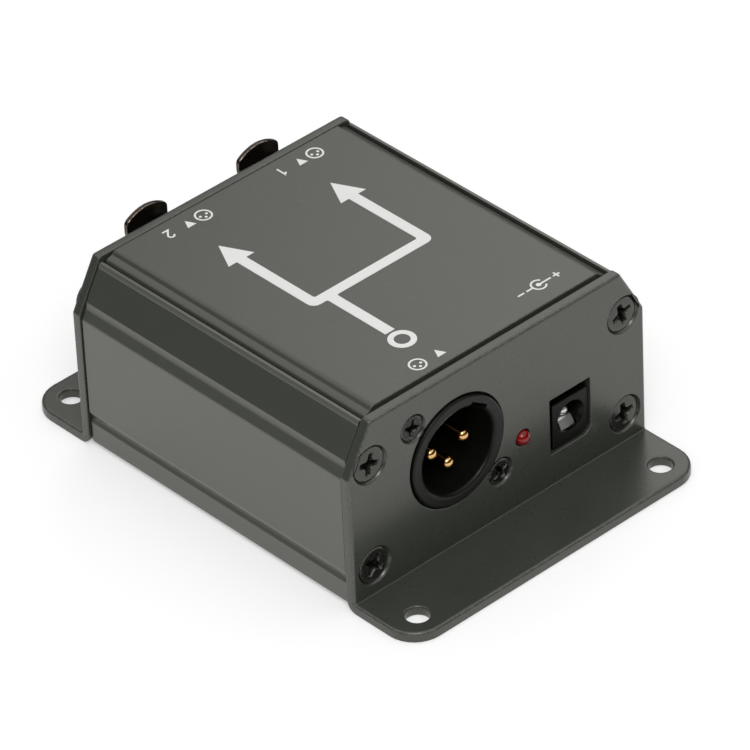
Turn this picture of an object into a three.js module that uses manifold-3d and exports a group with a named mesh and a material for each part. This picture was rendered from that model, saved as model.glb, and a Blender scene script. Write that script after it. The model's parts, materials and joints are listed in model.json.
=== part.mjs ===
// Two-way DMX splitter in a flanged metal case.
// Millimetres, +Z up. The origin is the middle of the footprint, at the underside of the flanges.
// The input, power jack and status lamp face -Y, and the two outputs face +Y.

import * as THREE from 'three';
import { mergeVertices } from 'three/addons/utils/BufferGeometryUtils.js';
import Module from 'manifold-3d';

const wasm = await Module();
wasm.setup();

// Values shared by every piece
const fitGap = 0.3;
const headGap = 0.25;
const overrun = 1;
const weldTolerance = 0.0001;
const largeSides = 32;
const smallSides = 12;
const leadSides = 6;
const arcSteps = 5;
const domeSteps = 4;

// End plates with their flanges
const plateWidth = 70;
const plateHeight = 38;
const plateThickness = 2;
const plateSpan = 70.8;
const flangeReach = 14.6;
const chamferWidth = 5.5;
const chamferHeight = 9.8;
const bendInnerRadius = 2;
const flangeCornerRadius = 6;
const flangeHoleRadius = 2.2;
const flangeHoleSideMargin = 5.8;
const flangeHoleTipMargin = 5.2;
const plateScrewSideMargin = 5.1;
const plateScrewBottomMargin = 7.8;
const plateScrewTopMargin = 8.9;

// Body extrusion
const bodyInset = 0.3;
const bodyLift = 0.8;
const wallThickness = 1.8;
const floorThickness = 1.6;
const skirtHeight = 5;
const skirtInset = 0.25;
const grooveDepth = 0.3;
const grooveHalfHeight = 0.35;
const foldRadius = 1;
const joggleInset = 0.44;
const joggleRise = 2.2;
const slopeInset = 0.15;
const stripDrop = 0.8;
const stripWidth = 0.5;
const stripBevel = 0.15;
const lipThickness = 0.8;
const lidGrooveHeight = 1.1;
const lidGrooveDepth = 0.6;
const ledgeThickness = 1.1;
const ledgeReach = 2.6;
const bossRadius = 3.1;
const railThickness = 1.2;
const railInset = 1.2;

// Top lid
const lidProud = 0.5;
const lidThickness = 1.5;
const lidSideGap = 0.55;
const lidEndGap = 0.6;
const lidEndBevel = 0.3;
const lidShelfWidth = 1.35;
const lidShelfDrop = 0.7;
const lidBevelWidth = 1.1;
const lidBevelRound = 0.2;
const lidLegThickness = 1.35;
const lidTongueReach = 0.85;
const lidTongueHeight = 0.5;

// Countersunk screws with a cross recess
const plateScrew = {
  headRadius: 3.45, shankRadius: 1.6, headDepth: 1.7, sink: 0.15, length: 12,
  crossLength: 3.6, crossWidth: 0.8, crossDepth: 1.1,
};
const connectorScrew = {
  headRadius: 2.55, shankRadius: 1.25, headDepth: 1.2, sink: 0.1, length: 9,
  crossLength: 2.7, crossWidth: 0.6, crossDepth: 0.8,
};

// Circuit board
const boardTop = 7.2;
const boardThickness = 1.6;
const boardEndGap = 0.4;
const boardSideGap = 0.3;
const tailDrop = 1.2;
const tailRadius = 0.5;

// Round three-pole connectors, all at one height above the middle of their plate
const axisRise = 2.4;
const inputAxis = -10;
const outputSpacing = 26.5;
const collarRadius = 10.7;
const collarProud = 0.5;
const collarRound = 0.5;
const seatFlangeThickness = 2;
const seatFlangeHalf = 12.6;
const seatFlangeRound = 2;
const connectorScrewOffset = 9.9;
const screwBossRadius = 2.4;
const screwBossLength = 7.5;
const legOuterHalf = 8.5;
const legInnerHalf = 6.2;
const contactCircleRadius = 3.81;
const sideTailRun = 2.6;
const lowTailRun = 1.2;
const keyTurn = THREE.MathUtils.degToRad(34);

// Input connector
const inputBore = 8.3;
const inputDepth = 21.5;
const inputLedgeRadius = 7;
const inputLedgeThickness = 1.4;
const inputInsertThickness = 4;
const keyNotchWidth = 4.2;
const keyNotchDepth = 0.9;
const keyNotchLength = 4;
const pinRadius = 1.2;
const pinTipRecess = 1.66;

// Output connectors
const outputBore = 9.65;
const outputDepth = 24;
const outputLedgeRadius = 7.8;
const outputLedgeThickness = 1.4;
const coreRadius = 7.8;
const coreRecess = 0.8;
const coreRound = 0.5;
const insertBaseThickness = 4.6;
const sleeveRadius = 1.7;
const sleeveBore = 1.25;
const sleeveBoreDepth = 12;
const sleeveRecess = 1.8;
const sleeveMouthRadius = 1.35;
const keyRibWidth = 3.4;
const keyRibHeight = 0.6;
const keyRibLength = 12;

// Latch of an output connector, measured from the connector's axis and the plate's outer face
const pivotDepth = 4;
const pivotHeight = 12.3;
const pivotPinRadius = 0.6;
const knuckleRadius = 1.4;
const latchArmHalf = 2.2;
const latchThickness = 0.9;
const latchArmTop = 11.9;
const latchInnerEnd = 11;
const toothFrom = 9.6;
const toothTo = 10.8;
const toothTip = 8.75;
const lipOffset = 4;
const lipTop = 16.1;
const lipHalf = 4.6;
const lipEndRadius = 7.8;
const lipCornerRadius = 0.7;
const lipBendRadius = 0.9;
const lipWidenFrom = 1.6;
const latchEndGap = 1.6;
const plateSlotTopGap = 0.5;
const towerHalf = 5.6;
const towerRoof = 0.7;
const towerEndWall = 1.4;
const springCentreDepth = 8.2;
const springRadius = 1;
const springWireRadius = 0.16;
const springTurns = 2.5;
const stepsPerTurn = 8;
const wireSides = 5;

// Power jack
const jackAxis = 17.1;
const jackAxisAboveBoard = 6.5;
const jackHalfWidth = 4.25;
const jackTopAboveAxis = 4.5;
const jackRecess = 0.4;
const jackDepth = 14;
const jackBore = 3.1;
const jackBoreDepth = 10;
const jackPinRadius = 1;
const jackPinTaperShare = 0.65;
const jackPinRecess = 1.9;
const jackPinTailRun = 1.4;
const jackWindowLeftGap = 0.95;
const jackWindowTopGap = 1.9;
const jackWindowHeight = 11.6;
const jackWindowRound = 0.3;
const jackWindowLargeRound = 2;
const jackContactHalf = 1.6;
const jackContactThickness = 0.4;
const jackContactSetback = 0.95;
const jackContactDrop = 3;
const jackContactRise = 1.3;
const jackContactRun = 2.2;

// Status lamp
const lampAxis = 5.4;
const lampDrop = 3.2;
const lampRadius = 1.5;
const lampProud = 0.9;
const lampLength = 5.3;
const lampRimRadius = 1.9;
const lampRimThickness = 1;
const lampLeadRadius = 0.25;
const lampLeadSpacing = 2.54;
const lampLeadRun = 1.8;

// Components on the board
const lineChip = { length: 4.9, width: 3.9, height: 1.5, legs: 4 };
const couplerChip = { length: 9.6, width: 6.4, height: 3.2, legs: 4 };
const chipPitch = 1.27;
const chipLeg = { width: 0.45, thickness: 0.25, foot: 0.7 };
const can = { radius: 4, height: 8.6, edge: 0.5, leadSpacing: 3.5 };
const diode = { length: 5, radius: 1.3, leadSpacing: 9 };
const resistor = { length: 6, radius: 1.15, leadSpacing: 9 };
const leadRadius = 0.35;
const regulator = {
  width: 10, depth: 4.4, bodyHeight: 8.6, tabHeight: 14.6, tabThickness: 1.3,
  holeRadius: 1.8, holeDrop: 3, legSpacing: 2.54, legRadius: 0.45, standOff: 1.5,
};

// Derived places that several pieces share
const halfWidth = plateWidth / 2;
const axisHeight = plateHeight / 2 + axisRise;
const lampHeight = plateHeight / 2 - lampDrop;
const outerFace = plateSpan / 2;
const plateInnerFace = outerFace - plateThickness;
const seatDepth = plateThickness + fitGap;
const boardUnderside = boardTop - boardThickness;
const boardEnd = plateInnerFace - boardEndGap;
const boardHalf = halfWidth - plateScrewSideMargin - bossRadius - boardSideGap;
const tailEnd = boardUnderside - tailDrop;
const connectorFoot = boardTop + fitGap - axisHeight;
const lidTop = plateHeight + lidProud;
const lidUnderside = lidTop - lidThickness;
const towerTop = lidUnderside - fitGap - axisHeight;
const inputInsertBack = inputDepth - inputLedgeThickness - fitGap;
const outputInsertBack = outputDepth - outputLedgeThickness - fitGap;
const jackAxisHeight = boardTop + jackAxisAboveBoard;
const jackBack = jackRecess + jackDepth;
const lampBack = lampLength - lampProud;

const contactPlaces = [
  { x: contactCircleRadius, z: 0, tailRun: sideTailRun },
  { x: -contactCircleRadius, z: 0, tailRun: sideTailRun },
  { x: 0, z: -contactCircleRadius, tailRun: lowTailRun },
];
const connectorScrewPlaces = [
  [-connectorScrewOffset, connectorScrewOffset],
  [connectorScrewOffset, -connectorScrewOffset],
];
const plateScrewPlaces = [plateHeight - plateScrewTopMargin, plateScrewBottomMargin].flatMap((z) => [
  [plateScrewSideMargin - halfWidth, z],
  [halfWidth - plateScrewSideMargin, z],
]);

const finishes = {
  paint: { color: 0x61625d, roughness: 0.45, metalness: 0.3 },
  blackPlastic: { color: 0x1b1b1c, roughness: 0.5, metalness: 0 },
  socketPlastic: { color: 0x101011, roughness: 0.6, metalness: 0 },
  blackSteel: { color: 0x17171a, roughness: 0.3, metalness: 0.8 },
  blackChrome: { color: 0x3a3836, roughness: 0.15, metalness: 1 },
  gold: { color: 0xd9a860, roughness: 0.2, metalness: 1 },
  nickel: { color: 0xc9c7c0, roughness: 0.25, metalness: 1 },
  redLens: { color: 0xb8161a, roughness: 0.15, metalness: 0 },
  board: { color: 0x2d5a34, roughness: 0.5, metalness: 0 },
  moulding: { color: 0x222224, roughness: 0.55, metalness: 0 },
  sleeve: { color: 0x23304f, roughness: 0.4, metalness: 0.1 },
  ceramic: { color: 0xb79a6c, roughness: 0.5, metalness: 0 },
};

// Solids

// Turns a closed geometry into a solid, with its corners merged and its faces pointing out.
function toSolid(geometry) {
  const bare = geometry.index ? geometry.toNonIndexed() : geometry.clone();
  bare.deleteAttribute('normal');
  bare.deleteAttribute('uv');
  const merged = mergeVertices(bare, weldTolerance);
  const places = merged.getAttribute('position');
  const order = merged.index.array;
  const corners = [];
  const [a, b, c] = [new THREE.Vector3(), new THREE.Vector3(), new THREE.Vector3()];
  let volume = 0;
  for (let i = 0; i < order.length; i += 3) {
    const [p, q, r] = [order[i], order[i + 1], order[i + 2]];
    if (p === q || q === r || r === p) continue;
    corners.push(p, q, r);
    a.fromBufferAttribute(places, p);
    b.fromBufferAttribute(places, q);
    c.fromBufferAttribute(places, r);
    volume += a.dot(b.cross(c));
  }
  if (volume < 0) corners.reverse();
  return new wasm.Manifold(new wasm.Mesh({
    numProp: 3,
    vertProperties: new Float32Array(places.array),
    triVerts: new Uint32Array(corners),
  }));
}

function toGeometry(solid) {
  const mesh = solid.getMesh();
  const geometry = new THREE.BufferGeometry();
  geometry.setAttribute('position', new THREE.BufferAttribute(new Float32Array(mesh.vertProperties), 3));
  geometry.setIndex(new THREE.BufferAttribute(new Uint32Array(mesh.triVerts), 1));
  geometry.computeVertexNormals();
  return geometry;
}

const joined = (first, ...others) => others.reduce((sum, other) => sum.add(other), first);
const cut = (first, ...others) => others.reduce((rest, other) => rest.subtract(other), first);

function box(x1, x2, y1, y2, z1, z2) {
  const geometry = new THREE.BoxGeometry(Math.abs(x2 - x1), Math.abs(y2 - y1), Math.abs(z2 - z1));
  return toSolid(geometry.translate((x1 + x2) / 2, (y1 + y2) / 2, (z1 + z2) / 2));
}

// Carries an outline from one place to another along an axis.
// The outline is drawn in (y, z) for x, in (x, z) for y and in (x, y) for z.
function extrude(outline, axis, from, to) {
  const shape = Array.isArray(outline)
    ? new THREE.Shape(outline.map(([u, v]) => new THREE.Vector2(u, v)))
    : outline;
  const geometry = new THREE.ExtrudeGeometry(shape, {
    depth: to - from, bevelEnabled: false, curveSegments: arcSteps,
  });
  const [x, y, z] = [new THREE.Vector3(1, 0, 0), new THREE.Vector3(0, 1, 0), new THREE.Vector3(0, 0, 1)];
  const place = new THREE.Matrix4();
  if (axis === 'x') place.makeBasis(y, z, x).setPosition(from, 0, 0);
  if (axis === 'y') place.makeBasis(x, z, y.clone().negate()).setPosition(0, to, 0);
  if (axis === 'z') place.setPosition(0, 0, from);
  return toSolid(geometry.applyMatrix4(place));
}

// A profile of (radius, distance) points turned round the Y axis, unmoved
function turnedGeometry(profile, sides) {
  return new THREE.LatheGeometry(profile.map(([r, y]) => new THREE.Vector2(r, y)), sides);
}

// The same, along Y at a place (x, z)
function turned(profile, x, z, sides = smallSides) {
  return toSolid(turnedGeometry(profile, sides).translate(x, 0, z));
}

function barX(y, z, from, to, radius, sides = smallSides) {
  const geometry = new THREE.CylinderGeometry(radius, radius, to - from, sides);
  return toSolid(geometry.rotateZ(Math.PI / 2).translate((from + to) / 2, y, z));
}

function barY(x, z, from, to, radius, sides = smallSides) {
  const geometry = new THREE.CylinderGeometry(radius, radius, to - from, sides);
  return toSolid(geometry.translate(x, (from + to) / 2, z));
}

function barZ(x, y, from, to, radius, sides = leadSides) {
  const geometry = new THREE.CylinderGeometry(radius, radius, to - from, sides);
  return toSolid(geometry.rotateX(Math.PI / 2).translate(x, y, (from + to) / 2));
}

// Closes an outline from its right half, given from the bottom to the top.
function mirrored(rightHalf) {
  return [...rightHalf, ...rightHalf.map(([x, z]) => [-x, z]).reverse()];
}

// A rectangle with its own radius at each corner, from the lower left one round
function roundedRectangle(x1, x2, z1, z2, radii) {
  const shape = new THREE.Shape();
  const corners = [[x1, z1, 1, 1], [x2, z1, -1, 1], [x2, z2, -1, -1], [x1, z2, 1, -1]];
  corners.forEach(([x, z, towardsX, towardsZ], i) => {
    const start = Math.PI + i * Math.PI / 2;
    shape.absarc(x + towardsX * radii[i], z + towardsZ * radii[i], radii[i], start, start + Math.PI / 2);
  });
  return shape;
}

// Profile points of a round tip that starts on the axis
function domeProfile(radius, tip) {
  return Array.from({ length: domeSteps + 1 }, (_, step) => {
    const angle = step / domeSteps * Math.PI / 2;
    return [radius * Math.sin(angle), tip + radius * (1 - Math.cos(angle))];
  });
}

function piece(name, solid, finish) {
  const mesh = new THREE.Mesh(toGeometry(solid), new THREE.MeshStandardMaterial(finish));
  mesh.name = name;
  return mesh;
}

function groupAt(x, y, z, ...children) {
  const holder = new THREE.Group();
  holder.position.set(x, y, z);
  holder.add(...children);
  return holder;
}

// Screws

// The room for a countersunk screw in a plate whose outer face is at depth 0
function screwRoom(x, z, screw) {
  const shaft = screw.shankRadius + fitGap;
  const seat = screw.sink + screw.headDepth;
  const flare = (screw.headRadius - screw.shankRadius) / screw.headDepth;
  const mouth = shaft + (seat + overrun) * flare - fitGap + headGap;
  return turned([
    [0, -overrun], [mouth, -overrun], [shaft, seat],
    [shaft, plateThickness + overrun], [0, plateThickness + overrun],
  ], x, z);
}

// A screw with its head just under the plate's outer face and its tip inward
function screwSolid(screw) {
  const { headRadius, shankRadius, headDepth, sink, length, crossDepth } = screw;
  const blank = turned([
    [0, sink], [headRadius, sink], [shankRadius, sink + headDepth], [shankRadius, length], [0, length],
  ], 0, 0);
  const [long, wide] = [screw.crossLength / 2, screw.crossWidth / 2];
  return cut(
    blank,
    box(-long, long, sink - overrun, sink + crossDepth, -wide, wide),
    box(-wide, wide, sink - overrun, sink + crossDepth, -long, long),
  );
}

function screws(prefix, places, screw) {
  return places.map(([x, z], i) => groupAt(
    x, 0, z, piece(`${prefix}_screw_${i + 1}`, screwSolid(screw), finishes.blackSteel),
  ));
}

// End plates

// A sheet folded outward at the bottom into a flange, with chamfered top corners.
// Its outer face is at depth 0 and its flange points to -Y.
function plateBlank() {
  const outerRadius = bendInnerRadius + plateThickness;
  const fold = new THREE.Shape();
  fold.moveTo(-flangeReach, 0);
  fold.lineTo(-bendInnerRadius, 0);
  fold.absarc(-bendInnerRadius, outerRadius, outerRadius, -Math.PI / 2, 0, false);
  fold.lineTo(plateThickness, plateHeight);
  fold.lineTo(0, plateHeight);
  fold.lineTo(0, outerRadius);
  fold.absarc(-bendInnerRadius, outerRadius, bendInnerRadius, 0, -Math.PI / 2, true);
  fold.lineTo(-flangeReach, plateThickness);

  const front = mirrored([
    [halfWidth, -overrun],
    [halfWidth, plateHeight - chamferHeight],
    [halfWidth - chamferWidth, plateHeight],
  ]);
  const plan = roundedRectangle(
    -halfWidth - overrun, halfWidth + overrun, -flangeReach, plateThickness + overrun,
    [flangeCornerRadius + overrun, flangeCornerRadius + overrun, overrun, overrun],
  );
  const holes = [-1, 1].map((side) => barZ(
    side * (halfWidth - flangeHoleSideMargin), flangeHoleTipMargin - flangeReach,
    -overrun, plateThickness + overrun, flangeHoleRadius, smallSides,
  ));
  return cut(
    extrude(fold, 'x', -halfWidth - overrun, halfWidth + overrun)
      .intersect(extrude(front, 'y', -flangeReach - overrun, plateThickness + overrun))
      .intersect(extrude(plan, 'z', -overrun, plateHeight + overrun)),
    ...holes,
    ...plateScrewPlaces.map(([x, z]) => screwRoom(x, z, plateScrew)),
  );
}

// The opening for a connector's collar, and the holes for its two screws
function connectorRoom(x) {
  return [
    barY(x, axisHeight, -overrun, plateThickness + overrun, collarRadius + fitGap, largeSides),
    ...connectorScrewPlaces.map(([dx, dz]) => screwRoom(x + dx, axisHeight + dz, connectorScrew)),
  ];
}

const jackWindowTop = jackTopAboveAxis + jackWindowTopGap;
const jackWindowBottom = jackWindowTop - jackWindowHeight;

function frontPlate() {
  const window = roundedRectangle(
    jackAxis - jackHalfWidth - jackWindowLeftGap, jackAxis + jackHalfWidth + fitGap,
    jackAxisHeight + jackWindowBottom, jackAxisHeight + jackWindowTop,
    [jackWindowRound, jackWindowLargeRound, jackWindowRound, jackWindowRound],
  );
  return cut(
    plateBlank(),
    ...connectorRoom(inputAxis),
    extrude(window, 'y', -overrun, plateThickness + overrun),
    barY(lampAxis, lampHeight, -overrun, plateThickness + overrun, lampRadius + fitGap),
  );
}

function rearPlate() {
  const slotHalf = lipHalf + fitGap;
  const slotTop = axisHeight + latchArmTop + plateSlotTopGap;
  const slots = [-1, 1].map((side) => box(
    side * outputSpacing / 2 - slotHalf, side * outputSpacing / 2 + slotHalf,
    -overrun, plateThickness + overrun, axisHeight, slotTop,
  ));
  return cut(
    plateBlank(),
    ...connectorRoom(-outputSpacing / 2),
    ...connectorRoom(outputSpacing / 2),
    ...slots,
  );
}

// Body and lid

const bodyEnd = plateInnerFace - fitGap;
const bodyHalf = halfWidth - bodyInset;
const shoulderStart = plateHeight - chamferHeight;
const slopeRun = chamferWidth / chamferHeight;
const slopeStretch = Math.hypot(chamferWidth, chamferHeight) / chamferHeight;
const slopeX = (z) => halfWidth - slopeInset * slopeStretch - (z - shoulderStart) * slopeRun;
const shoulderFold = shoulderStart + (bodyInset - slopeInset * slopeStretch - joggleInset) / slopeRun;
const stripTop = plateHeight - stripDrop;
const stripOuter = slopeX(stripTop - stripBevel);
const stripInner = stripOuter - stripWidth - stripBevel;
const lipBottom = stripTop - lipThickness;
const ledgeTop = lipBottom - lidGrooveHeight;

// The rounded fold between a wall and its shoulder: a curve that is drawn to the sharp corner
function foldPoints(inset) {
  const corner = new THREE.Vector2(bodyHalf - inset, shoulderFold - inset * slopeRun / 2);
  const low = new THREE.Vector2(corner.x, corner.y - foldRadius / 2);
  const high = new THREE.Vector2(corner.x - foldRadius / 2 * slopeRun, corner.y + foldRadius / 2);
  return new THREE.QuadraticBezierCurve(low, corner, high).getPoints(arcSteps).map((p) => [p.x, p.y]);
}

// The fold, then a shoulder that starts a little inward and steps out to its upper part
function shoulderPoints() {
  const stepFoot = shoulderFold + joggleRise;
  const stepX = slopeX(stepFoot) - joggleInset;
  return [
    ...foldPoints(0),
    [stepX, stepFoot],
    [stepX, stepFoot + joggleInset / slopeRun],
    [stripOuter, stripTop - stripBevel],
  ];
}

function bodyShell() {
  const floorTop = bodyLift + floorThickness;
  const groove = bodyLift + skirtHeight;
  const outer = mirrored([
    [bodyHalf - skirtInset, bodyLift],
    [bodyHalf - skirtInset / 2, groove - grooveHalfHeight],
    [bodyHalf - grooveDepth, groove],
    [bodyHalf, groove + grooveHalfHeight],
    ...shoulderPoints(),
    [stripOuter - stripBevel, stripTop],
    [stripInner, stripTop],
  ]);
  const shoulderInner = slopeX(ledgeTop) - wallThickness * slopeStretch;
  const cavity = mirrored([
    [bodyHalf - wallThickness, floorTop],
    ...foldPoints(wallThickness),
    [shoulderInner, ledgeTop],
    [stripInner, ledgeTop],
    [stripInner, stripTop + overrun],
  ]);
  const envelope = extrude(mirrored([
    [bodyHalf - skirtInset, bodyLift], [bodyHalf, groove + grooveHalfHeight], ...shoulderPoints(),
  ]), 'y', -bodyEnd, bodyEnd);
  const railOuter = boardHalf - railInset;
  const added = [];
  const removed = [];
  for (const side of [-1, 1]) {
    added.push(
      box(side * (stripInner - ledgeReach), side * (shoulderInner + wallThickness / 2),
        -bodyEnd, bodyEnd, ledgeTop - ledgeThickness, ledgeTop),
      box(side * (railOuter - railThickness), side * railOuter,
        -bodyEnd, bodyEnd, floorTop - floorThickness / 2, boardUnderside - fitGap),
    );
    removed.push(box(side * (stripInner - overrun), side * (stripInner + lidGrooveDepth),
      -bodyEnd - overrun, bodyEnd + overrun, ledgeTop, lipBottom));
  }
  for (const [x, z] of plateScrewPlaces) {
    added.push(barY(x, z, -bodyEnd, bodyEnd, bossRadius));
    removed.push(barY(x, z, -bodyEnd - overrun, bodyEnd + overrun, plateScrew.shankRadius + fitGap));
  }
  const hollow = cut(
    extrude(outer, 'y', -bodyEnd, bodyEnd),
    extrude(cavity, 'y', -bodyEnd - overrun, bodyEnd + overrun),
  );
  return cut(hollow.add(joined(...added).intersect(envelope)), ...removed);
}

// A thin panel, raised between two shelves, with a tongue under the body's strip on each side's leg
function topLid() {
  const end = plateInnerFace - lidEndGap;
  const foot = stripInner - lidSideGap;
  const shelf = lidTop - lidShelfDrop;
  const flat = foot - lidShelfWidth - lidBevelWidth;
  const legBottom = ledgeTop + fitGap;
  const tongueTop = legBottom + lidTongueHeight;
  const legInner = foot - lidLegThickness;
  const section = mirrored([
    [legInner - lidThickness, lidUnderside],
    [legInner, lidUnderside - lidShelfDrop],
    [legInner, legBottom],
    [foot + lidTongueReach, legBottom],
    [foot + lidTongueReach, tongueTop],
    [foot, tongueTop],
    [foot, shelf],
    [foot - lidShelfWidth, shelf],
    [flat + lidBevelRound, lidTop - lidBevelRound * lidShelfDrop / lidBevelWidth],
    [flat - lidBevelRound, lidTop],
  ]);
  const side = [
    [-end, legBottom - overrun], [end, legBottom - overrun],
    [end, lidTop - lidEndBevel], [end - lidEndBevel, lidTop],
    [lidEndBevel - end, lidTop], [-end, lidTop - lidEndBevel],
  ];
  return extrude(section, 'y', -end - overrun, end + overrun)
    .intersect(extrude(side, 'x', -halfWidth, halfWidth));
}

// Connectors, each in its own frame: its axis, at the plate's outer face

// The collar and barrel, with a flange behind the plate, two legs to the board and two screw bosses
function connectorBody(depth) {
  const barrel = turned([
    [0, -collarProud], [collarRadius - collarRound, -collarProud],
    [collarRadius, collarRound - collarProud], [collarRadius, depth], [0, depth],
  ], 0, 0, largeSides);
  const flange = extrude(roundedRectangle(
    -seatFlangeHalf, seatFlangeHalf, connectorFoot, seatFlangeHalf, Array(4).fill(seatFlangeRound),
  ), 'y', seatDepth, seatDepth + seatFlangeThickness);
  const middle = seatDepth + seatFlangeThickness / 2;
  const legs = [-1, 1].map((side) => box(
    side * legInnerHalf, side * legOuterHalf,
    middle, depth - seatFlangeThickness, connectorFoot, -legInnerHalf,
  ));
  const bosses = connectorScrewPlaces.map(
    ([x, z]) => barY(x, z, middle, seatDepth + screwBossLength, screwBossRadius),
  );
  const pilots = connectorScrewPlaces.map(
    ([x, z]) => barY(x, z, 0, connectorScrew.length + fitGap, connectorScrew.shankRadius + fitGap),
  );
  return cut(joined(barrel, flange, ...legs, ...bosses), ...pilots);
}

// A block that stands on a circle, turned by an angle from the top
function keyBlock(width, inner, outer, from, to, turn) {
  const corners = [[-width / 2, inner], [width / 2, inner], [width / 2, outer], [-width / 2, outer]];
  return extrude(corners.map(([x, z]) => [
    x * Math.cos(turn) + z * Math.sin(turn), z * Math.cos(turn) - x * Math.sin(turn),
  ]), 'y', from, to);
}

// A solder tail that leaves a contact's back and turns down through the board
function tail(x, z, from, back) {
  return joined(
    barY(x, z, from - tailRadius, back + tailRadius, tailRadius, leadSides),
    barZ(x, back, tailEnd - axisHeight, z + tailRadius, tailRadius),
  );
}

function inputShell() {
  return cut(
    connectorBody(inputDepth),
    barY(0, 0, -collarProud - overrun, inputDepth - inputLedgeThickness, inputBore, largeSides),
    barY(0, 0, 0, inputDepth + overrun, inputLedgeRadius, largeSides),
    keyBlock(keyNotchWidth, inputBore - overrun, inputBore + keyNotchDepth,
      -collarProud - overrun, keyNotchLength, keyTurn),
  );
}

function inputInsert() {
  const front = inputInsertBack - inputInsertThickness;
  const holes = contactPlaces.map(
    ({ x, z }) => barY(x, z, front - overrun, inputInsertBack + overrun, pinRadius + fitGap),
  );
  return cut(barY(0, 0, front, inputInsertBack, inputBore - fitGap, largeSides), ...holes);
}

function inputPin({ x, z, tailRun }) {
  const bar = turned([
    ...domeProfile(pinRadius, pinTipRecess), [pinRadius, inputDepth], [0, inputDepth],
  ], x, z);
  return joined(bar, tail(x, z, inputDepth, inputDepth + tailRun));
}

function outputShell() {
  const roomEnd = latchInnerEnd + latchEndGap;
  const roomHalf = latchArmHalf + fitGap;
  const tower = box(-towerHalf, towerHalf, seatDepth, roomEnd + towerEndWall, 0, towerTop);
  const room = box(-roomHalf, roomHalf, -collarProud - overrun, roomEnd, 0, towerTop - towerRoof);
  const pivot = barX(pivotDepth, pivotHeight, -towerHalf - overrun, towerHalf + overrun,
    pivotPinRadius + fitGap, leadSides);
  return cut(
    connectorBody(outputDepth).add(tower),
    barY(0, 0, -collarProud - overrun, outputDepth - outputLedgeThickness, outputBore, largeSides),
    barY(0, 0, 0, outputDepth + overrun, outputLedgeRadius, largeSides),
    room,
    pivot,
  );
}

function outputInsert() {
  const baseFront = outputInsertBack - insertBaseThickness;
  const baseRadius = outputBore - fitGap;
  const core = turned([
    [0, coreRecess], [coreRadius - coreRound, coreRecess], [coreRadius, coreRecess + coreRound],
    [coreRadius, baseFront], [baseRadius, baseFront], [baseRadius, outputInsertBack], [0, outputInsertBack],
  ], 0, 0, largeSides);
  const rib = keyBlock(keyRibWidth, 0, coreRadius + keyRibHeight,
    coreRecess + coreRound, coreRecess + keyRibLength, -keyTurn);
  const holes = contactPlaces.flatMap(({ x, z }) => [
    barY(x, z, coreRecess - overrun, outputInsertBack, sleeveMouthRadius),
    barY(x, z, coreRecess + sleeveRecess - fitGap, outputInsertBack + overrun, sleeveRadius + fitGap),
  ]);
  return cut(core.add(rib), ...holes);
}

function contactSleeve({ x, z, tailRun }) {
  const front = coreRecess + sleeveRecess;
  const tube = turned([
    [sleeveBore, front], [sleeveRadius, front], [sleeveRadius, outputInsertBack], [0, outputInsertBack],
    [0, front + sleeveBoreDepth], [sleeveBore, front + sleeveBoreDepth], [sleeveBore, front],
  ], x, z);
  return joined(tube, tail(x, z, outputInsertBack, outputDepth + tailRun));
}

// The lever seen from its side: an inner arm with a tooth, and an outer arm that bends up into a lip
function leverSide() {
  const armBottom = latchArmTop - latchThickness;
  const bendCentre = lipBendRadius - lipOffset;
  const outerRadius = lipBendRadius + latchThickness;
  const side = new THREE.Shape();
  side.moveTo(latchInnerEnd, latchArmTop);
  side.lineTo(bendCentre, latchArmTop);
  side.absarc(bendCentre, latchArmTop + lipBendRadius, lipBendRadius, -Math.PI / 2, Math.PI, true);
  side.lineTo(-lipOffset, lipTop);
  side.lineTo(-lipOffset - latchThickness, lipTop);
  side.absarc(bendCentre, armBottom + outerRadius, outerRadius, Math.PI, 3 * Math.PI / 2, false);
  side.lineTo(toothFrom, armBottom);
  side.lineTo(toothFrom, toothTip);
  side.lineTo(toothTo, toothTip);
  side.lineTo(latchInnerEnd, armBottom);
  return side;
}

// The lip seen from outside: its end is a shallow arc between two small corner arcs
function lipFront() {
  const endCentre = lipTop - lipEndRadius;
  const cornerX = lipHalf - lipCornerRadius;
  const sweep = Math.asin(cornerX / (lipEndRadius - lipCornerRadius));
  const cornerZ = endCentre + (lipEndRadius - lipCornerRadius) * Math.cos(sweep);
  const lip = new THREE.Shape();
  lip.moveTo(-lipHalf, 0);
  lip.lineTo(lipHalf, 0);
  lip.absarc(cornerX, cornerZ, lipCornerRadius, 0, Math.PI / 2 - sweep, false);
  lip.absarc(0, endCentre, lipEndRadius, Math.PI / 2 - sweep, Math.PI / 2 + sweep, false);
  lip.absarc(-cornerX, cornerZ, lipCornerRadius, Math.PI / 2 + sweep, Math.PI, false);
  return lip;
}

function latchLever() {
  const outerEnd = -lipOffset - latchThickness - overrun;
  const plan = joined(
    extrude(lipFront(), 'y', outerEnd, -lipWidenFrom),
    box(-latchArmHalf, latchArmHalf, outerEnd, latchInnerEnd + overrun, 0, lipTop + overrun),
  );
  const blade = extrude(leverSide(), 'x', -lipHalf - overrun, lipHalf + overrun).intersect(plan);
  const knuckle = barX(pivotDepth, pivotHeight, -latchArmHalf, latchArmHalf, knuckleRadius);
  const bore = barX(pivotDepth, pivotHeight, -latchArmHalf - overrun, latchArmHalf + overrun,
    pivotPinRadius + fitGap, leadSides);
  return cut(blade.add(knuckle), bore);
}

function latchPin() {
  return barX(pivotDepth, pivotHeight, -towerHalf, towerHalf, pivotPinRadius, leadSides);
}

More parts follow.
